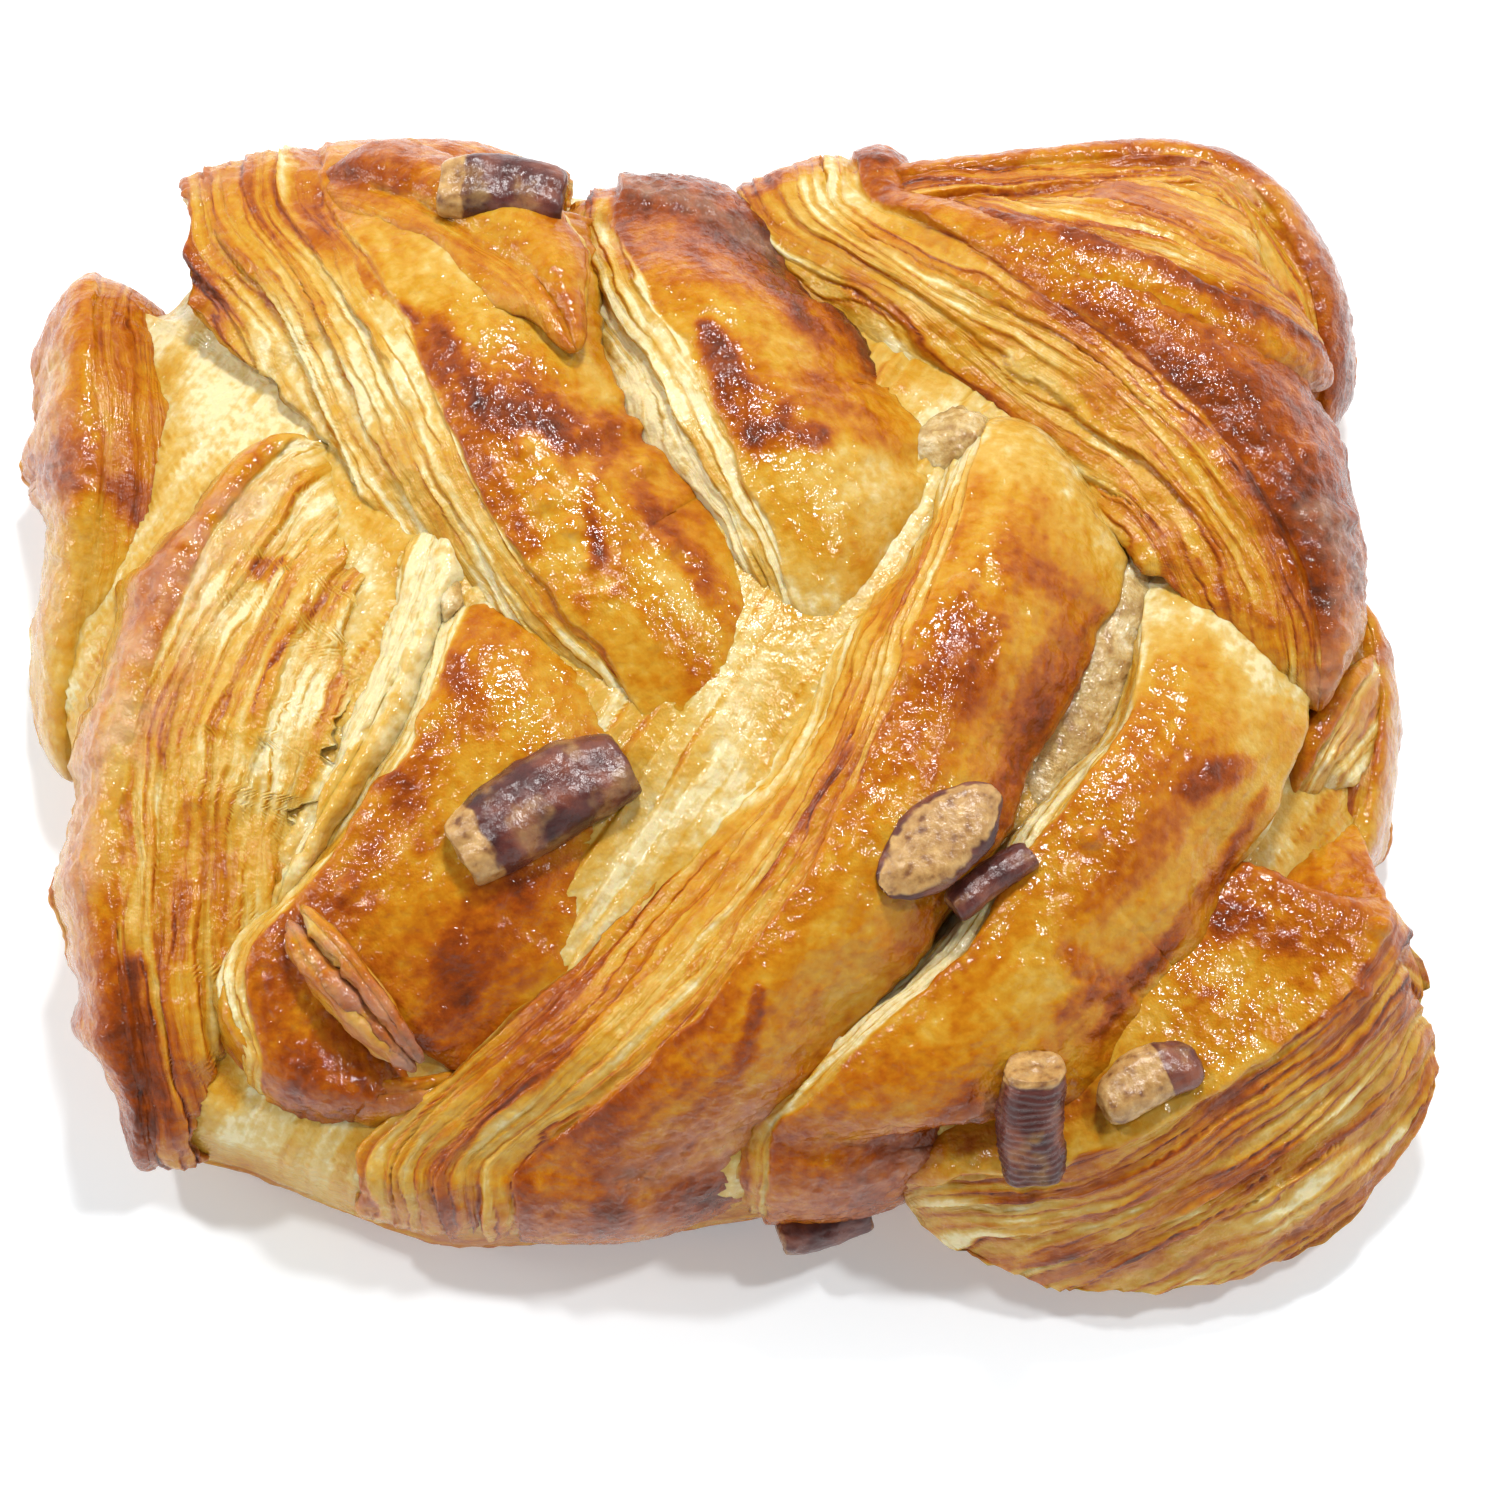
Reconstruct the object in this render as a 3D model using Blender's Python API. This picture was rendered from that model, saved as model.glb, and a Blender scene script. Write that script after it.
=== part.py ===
"""A pecan plait: laminated dough strips folded from both long sides over a soft filling.

Lengths in this file are in millimetres and are turned into metres when a mesh is made. X runs along the plait,
Y across it and +Z is up. The pastry lies flat on z = 0, with the origin under the middle of its bounding box.
"""
import math
from collections import namedtuple

import bmesh
import bpy
import numpy as np
from mathutils import Matrix, Vector

MM = 0.001

PLAN_CENTRE = (-0.79, 2.83)  # middle of the finished outline, moved to the origin
FIT_GAP = 0.3  # clearance round the filling and the pecans
MERGE_WITHIN = 0.002

# The crumb: a low dome over the whole footprint, which the strips lie on.
DOME_RIM, DOME_RISE = 12.0, 20.0
DOME_HALF = (62.0, 52.0)
CRUMB_BELOW_DOME = 4.0
SIDE_BULGE_Z = 7.0
FOOT_INSET = 3.0
FOOT_RINGS, CRUMB_RINGS, CRUMB_SPOKES = 2, 7, 60

# The filling: a flat-bottomed mound inside the crumb, with a lump that shows in each gap between the strips.
FILLING_HALF = (36.0, 22.0)
FILLING_FLOOR = 7.0
FILLING_BELOW_DOME = 8.0
FILLING_RINGS, FILLING_SPOKES = 5, 32
Lump = namedtuple("Lump", "centre half heading")
LUMPS = (
    Lump((19.7, 20.0, 18.0), (5.0, 3.8, 7.8), 20),
    Lump((30.2, -1.6, 17.5), (12.5, 3.6, 8.8), 60),
    Lump((-24.4, 6.3, 18.5), (4.0, 2.6, 8.8), 70),
    Lump((-4.6, -13.6, 19.0), (5.5, 3.4, 9.4), -30),
)
LUMP_RINGS, LUMP_SPOKES = 8, 14

# Dough strips.
FOLD_FOOT_Z = 3.5  # height at which a folded strip meets the base
LOWEST_DOUGH = 0.4  # strips stop just above the flat foot
CROWN = 1.3  # how far the skin bulges between its edges
CUT_BULGE = 0.9
LAYER_RELIEF = 0.55
LAYERS_SHOWN = 2
STATIONS_PER_ROW, FOLD_STEPS, TIP_STATIONS = 1.6, 4, 1.8
SQUARE_UP_TO = 0.4  # a folded strip's sections turn from the rim's direction to its own within this part
FACE_SAMPLES, EDGE_SAMPLES, UNDER_SAMPLES, CUT_SAMPLES = 4, 1, 3, 8

# A strip's crest is the line where its glazed skin meets its cut, layered side. Each row is a point of the crest,
# x, y and z, then the width and the drop of the cut side there, then the width and the drop of the skin. The cut
# side lies to the left or right of the way the rows run. A fold reaches that far outwards as it turns down to the
# base, and 0 is no fold. Facing is the way its outside looks, in degrees from +X. Strips come in the order in
# which they were laid.
Strip = namedtuple("Strip", "name cut fold facing layered thick rows")
STRIPS = (
    Strip("end_flap", "right", 0, 0, False, 8, (
        (-56, -5, 8, 2, 3, 3.5, 5), (-55.8, 5.7, 14, 4, 3, 4.2, 9), (-54.6, 12.8, 17, 6.5, 3, 5, 12),
        (-53.8, 19.2, 19, 9, 4, 7, 13), (-54, 26.2, 19.5, 8.5, 5, 7, 13), (-54.4, 34.5, 18, 7.5, 6, 6.5, 11),
        (-54.6, 43, 13, 6, 5, 5.5, 6))),
    Strip("right_rim", "right", 0, 0, True, 8, (
        (55.5, 12, 14, 4, 0, 2, 8), (56.4, 2.7, 15, 8, -1, 2.5, 11), (55.8, -4.5, 15, 9, -1, 2.5, 11),
        (54.4, -11.4, 14, 8, -1, 2.5, 10), (53, -17, 12, 4, 0, 1, 7))),
    Strip("back_rim", "left", 0, 0, True, 9, (
        (20, 48, 17, 3, 10, 3, 1), (30.6, 49, 18.5, 4, 12, 4, 1), (37.4, 49.8, 19, 5, 13, 5, 2),
        (43.9, 48.6, 19, 5, 13, 5, 2), (48.6, 43.8, 19, 5, 13, 5, 2), (51.3, 37.4, 18, 5, 12, 4, 2),
        (52.2, 31, 16, 4, 10, 3, 2), (51.8, 24, 12, 3, 8, 2, 2))),
    Strip("front_end", "right", 0, 0, True, 9, (
        (16.5, -40.5, 15, 4, 8, 6, 2), (28, -41.3, 20.5, 8.5, 15, 12, 1), (36.4, -38.3, 22, 10.5, 16, 16, 0),
        (42.2, -34.4, 22.5, 12, 16, 18, -1), (48.1, -30.4, 22.5, 12, 16, 16, 0), (53.5, -25, 22, 10, 14, 12, 1),
        (58, -16, 17, 4, 8, 6, 2))),
    Strip("front_lip", "left", 0, 0, False, 8, (
        (-38.8, -23.8, 18, 5, 0, 2, 6), (-37, -28.4, 18.5, 6, -1, 3.5, 7), (-33.2, -32.2, 19, 7, -1, 4, 8),
        (-27.6, -34.4, 19, 8, -1, 4, 8), (-23.1, -32.9, 18.5, 7, 0, 4, 8), (-17.9, -30.3, 17, 5, 0, 2, 6))),
    Strip("front_5", "right", 0, 0, True, 7, (
        (48.1, -9.8, 19, 3, 3, 2, 3), (50.9, -4.7, 20, 4, 4, 3, 3), (54, 0.5, 19, 4, 5, 3, 4),
        (56.9, 6, 16, 2, 4, 1, 4))),
    Strip("front_1", "right", 2.5, -95, True, 9, (
        (-49.2, -34.5, 11, 5, 2, 3, 6), (-51.2, -30, 15, 8, 1, 3.5, 9), (-52.5, -24.5, 18, 12, 0, 3.5, 11),
        (-52.9, -17.7, 20, 14.6, -1, 4, 12), (-52.4, -11, 21.5, 15.5, -1.5, 4.5, 12),
        (-50.2, -4.8, 23, 16.5, -2, 4.5, 11),
        (-47.6, 1.5, 24, 16, -1.5, 4, 10), (-44.6, 8.2, 25, 14.6, 0, 3.5, 9), (-40.8, 14.4, 25, 13, 2, 3, 7),
        (-36.2, 18.8, 24, 8, 3, 2, 5))),
    Strip("front_2", "left", 2, -110, True, 9, (
        (-37, -23.6, 19, 4, 4, 13, 7), (-35.1, -21, 22, 4, 5, 15, 6), (-32.4, -16.5, 25, 5.5, 5.5, 17, 5.5),
        (-30.1, -12.7, 27, 6, 6, 17.6, 5), (-26.7, -8.3, 28.5, 6.9, 6, 19, 5), (-24.6, -3.7, 29, 6.9, 5, 16, 5),
        (-23, 1.9, 28, 5, 4, 14, 5), (-20.5, 9, 24, 3, 3, 10, 5))),
    Strip("back_1", "right", 8, 92, True, 9, (
        (-34.5, 44.3, 22, 12.5, 2.5, 21, 3), (-31, 38.8, 26, 14.5, 7, 20, 3), (-27.1, 31.4, 29, 11.5, 7, 17, 3),
        (-23.3, 22.8, 31, 9.4, 6.5, 14, 3), (-19.9, 14.5, 32, 6.9, 6, 14, 3.5), (-14.1, 5, 32, 5.1, 5, 16.5, 4),
        (-9.1, -0.4, 31, 4.5, 5, 18, 4.5), (-4.2, -10.1, 27, 3, 4, 17, 5), (2, -17, 22, 2, 3, 14, 5))),
    Strip("back_2", "right", 7, 85, True, 9, (
        (-9, 42, 23, 6, 4, 15, 5), (-6.7, 34, 29, 5, 4, 13.5, 6), (-2.5, 27.1, 31, 8.6, 5, 13, 7),
        (-0.4, 20.6, 32, 6.4, 4, 15, 7), (2.5, 14.5, 32, 4.8, 4, 16, 6.5), (5.4, 7.9, 31, 3.5, 3, 14, 6),
        (7.5, 1.9, 28, 2, 2, 9.5, 5), (11, -6, 23, 1, 2, 6, 5))),
    Strip("torn_flap", "right", 0, 0, True, 4, (
        (-26, 47.5, 21.5, 12, 2, 11, 2), (-23, 42.5, 26.3, 10.5, 2, 9.5, 1.5), (-18.5, 36, 29, 7, 1.5, 6.5, 1.5),
        (-12.8, 28.5, 31.2, 1, 1, 1, 1))),
    Strip("front_3", "left", 4, -92, True, 9, (
        (-16.5, -41, 19, 13, 7, 21, 5), (-9, -36.8, 25, 9.5, 8, 15, 6), (-3.3, -32.6, 29, 9.9, 8, 14, 7),
        (1.7, -27.3, 32, 9.4, 8, 11, 6), (5.8, -21.8, 34, 9, 8, 10.7, 5), (9.5, -16, 35, 8.6, 8, 11, 5),
        (12.4, -10.2, 35.5, 7.7, 8, 12.9, 5), (14.8, -4.1, 35.5, 6.9, 7, 13.3, 6), (17.3, 3, 35, 5.1, 6, 14.6, 6),
        (19.9, 9.8, 33, 4, 5, 14.6, 6), (23.4, 18.2, 29, 3, 4, 11, 5), (27, 24, 24, 2, 3, 6, 4))),
    Strip("front_4", "left", 4, -88, True, 9, (
        (6.4, -38.6, 20, 4, 5, 13, 6), (9.3, -36.8, 25, 3.5, 5, 15.5, 6.5), (14.2, -32.3, 28, 4, 5, 15, 7.5),
        (19.1, -26.8, 30, 3.5, 5, 14.5, 8), (22.4, -21.8, 31, 3, 5, 14.5, 8), (25.7, -16.7, 31.5, 2.5, 5, 14.6, 8),
        (29.9, -10.6, 31.5, 2, 5, 14.5, 8), (34.1, -4.1, 30.5, 1.5, 5, 14.5, 7), (36.8, 3.7, 28, 1.5, 4, 15, 6),
        (40, 10, 25, 1, 3, 13, 5), (45, 18, 20, 1, 3, 8, 5))),
    Strip("back_3", "right", 6.5, 95, True, 9, (
        (12.5, 45.3, 21, 12.5, 3, 6, 4), (17.6, 40.9, 26, 10.3, 6, 8, 5), (23.4, 36.4, 28.5, 12.9, 7, 10, 6),
        (30, 31.2, 29.5, 13.7, 8, 11, 6), (36.6, 26.2, 30, 13.5, 8, 11, 6), (42.5, 19.6, 30, 12.5, 8, 11, 7),
        (47, 13, 29, 12, 8, 11, 8), (49.6, 6.7, 27, 11, 8, 8.5, 9), (50.3, 1.5, 24, 7, 6, 7.5, 9),
        (50.4, -2.6, 19, 2, 3, 2.5, 5))),
    Strip("back_4", "left", 6.5, 85, True, 8, (
        (17.5, 45, 20.5, 2, 5, 3, 1), (19.3, 42.5, 25.5, 3.5, 6, 5, 1.5), (27.6, 39.3, 28.5, 4.5, 7, 6.5, 2),
        (35.8, 36.1, 29.5, 6.4, 8, 8, 2.5), (44.3, 32.4, 28.5, 6, 8, 8, 3), (50.6, 30.3, 24, 4, 7, 6, 3),
        (53.1, 29.4, 18, 1, 4, 2, 2))),
    Strip("curl", "right", 0, 0, False, 5, (
        (-35, -21.9, 24, 1, 2, 1, 2), (-31.5, -26.7, 25, 1.2, 2, 1.2, 2), (-28.2, -30.5, 24.5, 1.2, 2, 1.2, 2),
        (-24.9, -33.3, 22.5, 0.8, 2, 0.8, 2))),
)

# Outline of the base at its widest height, anticlockwise from the left end.
BASE_OUTLINE = (
    (-57, 1), (-54.5, -12), (-53, -24), (-48.5, -35), (-39, -39), (-31, -42), (-24, -44.5), (-15, -44.5),
    (-2, -43), (8, -41.5), (15, -40), (25, -44), (35, -47.5), (46, -45.5), (55, -38), (58, -28), (56, -14), (56, -4),
    (56.5, 8), (55, 18), (52, 29), (51.5, 40), (46, 48), (36, 50.5), (22, 50), (8, 49.5), (0, 46.5), (-8, 49),
    (-22, 51), (-36, 51), (-43.5, 45.5), (-49, 38), (-56, 39.5), (-58.5, 30), (-58, 15),
)

# Pecan pieces: the middle, the length, width and thickness, the turn about Z, how far the +X end is raised, the
# sideways bow, the depth of the groove as a part of the radius, and the width of the ends as a part of the middle.
Pecan = namedtuple("Pecan", "name centre size heading pitch bow groove ends")
PECANS = (
    Pecan("pecan_log", (-14.6, -13.6, 29.5), (16.0, 7.8, 7.0), 30, 2, 0.8, 0.16, 0.75),
    Pecan("pecan_slice", (17.9, -17.9, 35.4), (12.5, 7.2, 3.6), 42, 4, 0.0, 0.0, 0.2),
    Pecan("pecan_sliver", (22.4, -20.4, 32.4), (8.0, 3.2, 3.0), 35, 0, 0.3, 0.0, 0.7),
    Pecan("pecan_stub", (25.8, -38.5, 24.5), (11.0, 5.6, 5.2), 91, 52, 0.4, 0.12, 0.85),
    Pecan("pecan_crumb", (35.4, -35.3, 24.0), (8.8, 5.0, 4.2), 28, 0, 0.5, 0.1, 0.6),
    Pecan("pecan_back", (-18.7, 42.2, 28.3), (10.6, 5.8, 5.2), -6, 0, 0.5, 0.16, 0.8),
    Pecan("pecan_front", (8.8, -43.2, 7.0), (8.0, 4.6, 4.2), 18, 0, 0.4, 0.0, 0.6),
)
PECAN_RINGS, PECAN_SPOKES = 9, 12

COLOURS = {
    "pastry": (0.70, 0.33, 0.07),
    "filling": (0.62, 0.44, 0.20),
    "pecan": (0.14, 0.045, 0.025),
}
ROUGHNESS = {"pastry": 0.38, "filling": 0.2, "pecan": 0.5}


# ---------------------------------------------------------------- curves

def catmull(points, count, closed=False):
    """Evenly numbered points on a Catmull-Rom curve through the given ones."""
    pts = np.asarray(points, float)
    n = len(pts)
    if closed:
        ends = pts[[-1]], pts[[0, 1]]
    else:
        ends = 2 * pts[[0]] - pts[[1]], np.vstack([2 * pts[[-1]] - pts[[-2]]] * 2)
    ring = np.vstack([ends[0], pts, ends[1]])
    t = np.linspace(0, n if closed else n - 1, count, endpoint=not closed)
    k = np.minimum(t.astype(int), n - (1 if closed else 2))
    f = (t - k)[:, None]
    a, b, c, d = ring[k], ring[k + 1], ring[k + 2], ring[k + 3]
    return 0.5 * (2 * b + (c - a) * f + (2 * a - 5 * b + 4 * c - d) * f**2 + (3 * b - a - 3 * c + d) * f**3)


def dome(x, y):
    """Height of the dome that the strips lie on."""
    along = 1 - np.minimum(np.abs(x) / DOME_HALF[0], 1) ** 2.5
    across = 1 - np.minimum(np.abs(y) / DOME_HALF[1], 1) ** 2.2
    return DOME_RIM + DOME_RISE * along * across


def turned(points, heading, pitch=0):
    """Points with their +X end raised by pitch, then turned about Z by heading, both in degrees."""
    x, y, z = points[..., 0], points[..., 1], points[..., 2]
    c, s = math.cos(math.radians(pitch)), math.sin(math.radians(pitch))
    x, z = x * c - z * s, x * s + z * c
    c, s = math.cos(math.radians(heading)), math.sin(math.radians(heading))
    return np.stack([x * c - y * s, x * s + y * c, z], axis=-1)


# ---------------------------------------------------------------- meshes

def mesh_object(name, rings, kind):
    """A closed object from rings of positions that wrap round. An end ring is one point, or is capped."""
    rows, columns = rings.shape[0], rings.shape[1] + 1
    bm = bmesh.new()
    bmesh.ops.create_grid(bm, x_segments=rows - 1, y_segments=columns - 1, size=1)
    for vertex in bm.verts:
        row = round((vertex.co.x + 1) / 2 * (rows - 1))
        column = round((vertex.co.y + 1) / 2 * (columns - 1)) % (columns - 1)
        vertex.co = rings[row, column] * MM
    bmesh.ops.remove_doubles(bm, verts=bm.verts, dist=MERGE_WITHIN * MM)
    bmesh.ops.holes_fill(bm, edges=[e for e in bm.edges if e.is_boundary])
    bmesh.ops.triangulate(bm, faces=bm.faces)
    bmesh.ops.recalc_face_normals(bm, faces=bm.faces)
    mesh = bpy.data.meshes.new(name)
    bm.to_mesh(mesh)
    bm.free()
    mesh.shade_smooth()
    mesh.materials.append(material(kind))
    obj = bpy.data.objects.new(name, mesh)
    bpy.context.scene.collection.objects.link(obj)
    return obj


def material(kind):
    """The plain finish of one kind of food."""
    if kind in bpy.data.materials:
        return bpy.data.materials[kind]
    made = bpy.data.materials.new(kind)
    made.use_nodes = True
    shader = made.node_tree.nodes["Principled BSDF"]
    shader.inputs["Base Color"].default_value = (*COLOURS[kind], 1)
    shader.inputs["Roughness"].default_value = ROUGHNESS[kind]
    shader.inputs["Metallic"].default_value = 0
    return made


# ---------------------------------------------------------------- crumb and filling

def outline_ring(inset):
    """The base outline, pulled towards its own inside by inset."""
    ring = catmull(BASE_OUTLINE, CRUMB_SPOKES, closed=True)
    tangent = np.roll(ring, -1, axis=0) - np.roll(ring, 1, axis=0)
    tangent /= np.linalg.norm(tangent, axis=1)[:, None]
    return ring + inset * np.stack([-tangent[:, 1], tangent[:, 0]], axis=1)


def crumb():
    """The base dough: a flat foot, a bulging side and a domed top."""
    rings = []
    for k in range(FOOT_RINGS + 1):
        turn = k / FOOT_RINGS * math.pi / 2
        level = np.full(CRUMB_SPOKES, SIDE_BULGE_Z * (1 - math.cos(turn)))
        rings.append(np.column_stack([outline_ring(FOOT_INSET * (1 - math.sin(turn))), level]))
    for k in range(1, CRUMB_RINGS + 1):
        plan = outline_ring(0) * (1 - k / (CRUMB_RINGS + 0.2))
        rings.append(np.column_stack([plan, dome(plan[:, 0], plan[:, 1]) - CRUMB_BELOW_DOME]))
    return mesh_object("crumb", np.array(rings), "pastry")


def filling_mound(name, grow):
    """The hidden mound of filling, grown all round by grow."""
    turn = np.linspace(0, 2 * math.pi, FILLING_SPOKES, endpoint=False)
    square = np.stack([np.sign(f) * np.abs(f) ** 0.8 for f in (np.cos(turn), np.sin(turn))], axis=1)
    rim = square * (np.array(FILLING_HALF) + grow)
    rings = [np.column_stack([rim * 0.96, np.full(FILLING_SPOKES, FILLING_FLOOR - grow)])]
    for k in range(FILLING_RINGS + 1):
        plan = rim * (1 - k / (FILLING_RINGS + 0.2))
        rings.append(np.column_stack([plan, dome(plan[:, 0], plan[:, 1]) - FILLING_BELOW_DOME + grow]))
    return mesh_object(name, np.array(rings), "filling")


def filling_lump(name, lump, grow):
    """One lump of filling, an ellipsoid grown all round by grow."""
    turn = np.linspace(0, 2 * math.pi, LUMP_SPOKES, endpoint=False)
    rings = [np.column_stack([np.cos(turn) * math.sin(lift), np.sin(turn) * math.sin(lift),
                              np.full(LUMP_SPOKES, -math.cos(lift))])
             for lift in np.linspace(0, math.pi, LUMP_RINGS)]
    local = np.array(rings) * (np.array(lump.half) + grow)
    return mesh_object(name, turned(local, lump.heading) + np.array(lump.centre), "filling")


def filling_bodies(name, grow):
    return [filling_mound(name, grow)] + [filling_lump(f"{name}_{k}", lump, grow) for k, lump in enumerate(LUMPS)]


# ---------------------------------------------------------------- dough strips

def strip_path(strip):
    """A strip's rows, evenly spread from the foot of its fold to its tip, and its headings in plan."""
    rows = catmull(strip.rows, round(len(strip.rows) * STATIONS_PER_ROW))
    heading = np.gradient(rows[:, :2], axis=0)
    heading /= np.linalg.norm(heading, axis=1)[:, None]
    if strip.fold:
        facing = math.radians(strip.facing)
        inward = -np.array([math.cos(facing), math.sin(facing)])
        square = np.clip(1 - np.linspace(0, 1, len(rows)) / SQUARE_UP_TO, 0, 1)[:, None]
        heading = heading * (1 - square) + inward * square
        heading /= np.linalg.norm(heading, axis=1)[:, None]
        half = (rows[0, 2] - FOLD_FOOT_Z) / 2
        turns = np.linspace(math.pi, 0, FOLD_STEPS + 1)[:-1, None]
        out = np.array([-heading[0, 0], -heading[0, 1], 0])
        rolled = np.repeat(rows[:1], FOLD_STEPS, axis=0)
        rolled[:, :3] += strip.fold * out * np.sin(turns) - half * np.array([0, 0, 1]) * (1 - np.cos(turns))
        rows = np.vstack([rolled, rows])
        heading = np.vstack([np.repeat(heading[:1], FOLD_STEPS, axis=0), heading])
    return rows, heading


def section(row, thick, layered):
    """A strip's outline across its length: offsets towards the skin side, and out of the strip."""
    cut_width, cut_drop, face_width, face_drop = row[3:]
    under = -max(thick, cut_drop + 1.5, face_drop + 1.5)
    face = [(face_width * f, CROWN * math.sin(math.pi * f) - face_drop * f**2)
            for f in np.linspace(0, 1, FACE_SAMPLES)]
    edge = [(face_width * (1 - 0.04 * k), -face_drop + (under + face_drop) * k / EDGE_SAMPLES)
            for k in range(1, EDGE_SAMPLES + 1)]
    floor_from, floor_to = edge[-1][0], -0.85 * cut_width
    floor = [(floor_from + (floor_to - floor_from) * f, under) for f in np.linspace(0, 1, UNDER_SAMPLES)[1:]]
    cut = []
    for f in np.linspace(0, 1, CUT_SAMPLES)[:-1]:
        relief = LAYER_RELIEF * math.sin(2 * math.pi * LAYERS_SHOWN * f) if layered else 0
        rise = CUT_BULGE * math.sin(math.pi * f) + relief
        cut.append((-cut_width * (1 - f), -cut_drop * (1 - f) + rise))
    return np.array(face + edge + floor + cut)


def dough_strip(strip):
    """One strip, from the foot of its fold to its rounded tip."""
    rows, heading = strip_path(strip)
    tangent = np.gradient(rows[:, :3], axis=0)
    tangent /= np.linalg.norm(tangent, axis=1)[:, None]
    right = np.column_stack([heading[:, 1], -heading[:, 0], np.zeros(len(rows))])
    normal = np.cross(right, tangent)
    normal /= np.linalg.norm(normal, axis=1)[:, None]
    skin_side = right if strip.cut == "left" else -right
    rings = []
    for k, row in enumerate(rows):
        shape = section(row, strip.thick, strip.layered)
        end = min(min(k, len(rows) - 1 - k) / TIP_STATIONS, 1)
        middle = shape.mean(axis=0)
        shape = middle + (shape - middle) * math.sqrt(1 - (1 - end) ** 2)
        rings.append(row[:3] + shape[:, :1] * skin_side[k] + shape[:, 1:] * normal[k])
    rings = np.array(rings)
    rings[:, :, 2] = np.maximum(rings[:, :, 2], LOWEST_DOUGH)
    return mesh_object(strip.name, rings, "pastry")


# ---------------------------------------------------------------- pecans

def pecan(piece, name, grow):
    """A broken pecan piece: a log with blunt ends and a groove along its top, grown all round by grow."""
    length, width, thick = (side + 2 * grow for side in piece.size)
    turn = np.linspace(0, 2 * math.pi, PECAN_SPOKES, endpoint=False)
    groove = 1 - piece.groove * np.exp(-((turn - math.pi / 2) / 0.5) ** 2)
    rings = []
    for s in (-1, *np.sin(np.linspace(-1, 1, PECAN_RINGS) * math.pi / 2), 1):
        swell = (piece.ends + (1 - piece.ends) * math.sqrt(1 - s * s)) * (len(rings) not in (0, PECAN_RINGS + 1))
        across = np.cos(turn) * width / 2 * swell * groove + piece.bow * (1 - s**2)
        along = np.full(PECAN_SPOKES, s * length / 2)
        rings.append(np.column_stack([along, across, np.sin(turn) * thick / 2 * swell * groove]))
    return mesh_object(name, turned(np.array(rings), piece.heading, piece.pitch) + np.array(piece.centre), "pecan")


# ---------------------------------------------------------------- joining

def combine(body, others, operation):
    """Applies one Boolean of body with the others, which are then removed."""
    group = bpy.data.collections.new("group")
    bpy.context.scene.collection.children.link(group)
    for other in others:
        bpy.context.scene.collection.objects.unlink(other)
        group.objects.link(other)
    boolean = body.modifiers.new("join", "BOOLEAN")
    boolean.operation = operation
    boolean.operand_type = "COLLECTION"
    boolean.collection = group
    boolean.solver = "MANIFOLD"
    bpy.context.view_layer.update()
    result = bpy.data.meshes.new_from_object(body.evaluated_get(bpy.context.evaluated_depsgraph_get()))
    body.modifiers.clear()
    body.data = result
    for other in others:
        bpy.data.objects.remove(other)
    bpy.data.collections.remove(group)


def keep_outer_shell(body):
    """Drops sealed hollows and loose scraps, so that one closed body is left."""
    bm = bmesh.new()
    bm.from_mesh(body.data)
    bmesh.ops.triangulate(bm, faces=bm.faces)
    bmesh.ops.dissolve_degenerate(bm, edges=bm.edges, dist=0.001 * MM)
    waiting, shells = set(bm.faces), []
    while waiting:
        shell, front = set(), [waiting.pop()]
        while front:
            face = front.pop()
            shell.add(face)
            for edge in face.edges:
                for other in edge.link_faces:
                    if other in waiting:
                        waiting.remove(other)
                        front.append(other)
        shells.append(shell)
    largest = max(shells, key=len)
    bmesh.ops.delete(bm, geom=[f for s in shells if s is not largest for f in s], context="FACES")
    bmesh.ops.delete(bm, geom=[v for v in bm.verts if not v.link_faces], context="VERTS")
    bm.to_mesh(body.data)
    bm.free()


def to_origin():
    """Moves every mesh so that the middle of the plan lies on the Z axis."""
    shift = Matrix.Translation(Vector((-PLAN_CENTRE[0] * MM, -PLAN_CENTRE[1] * MM, 0)))
    for obj in bpy.context.scene.objects:
        obj.data.transform(shift)


def main():
    for obj in list(bpy.data.objects):
        bpy.data.objects.remove(obj)
    pastry = crumb()
    pastry.name = "pastry"
    combine(pastry, [dough_strip(strip) for strip in STRIPS], "UNION")
    keep_outer_shell(pastry)
    rooms = filling_bodies("room", FIT_GAP) + [pecan(piece, piece.name + "_room", FIT_GAP) for piece in PECANS]
    combine(pastry, rooms, "DIFFERENCE")
    keep_outer_shell(pastry)
    filling, *lumps = filling_bodies("filling", 0)
    combine(filling, lumps, "UNION")
    keep_outer_shell(filling)
    for piece in PECANS:
        pecan(piece, piece.name, 0)
    to_origin()


main()
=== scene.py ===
"""A baked pecan plait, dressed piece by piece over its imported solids.

Lengths are in millimetres unless a name says otherwise, in the plait's own drawing frame: X along it,
Y across it and Z up from the table. Everything is moved by PLAN_CENTRE when its mesh is made, so that it
lands on the solids. Baking runs from 0, raw cream, to 1, burnt.
"""
import math
from collections import namedtuple

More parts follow.
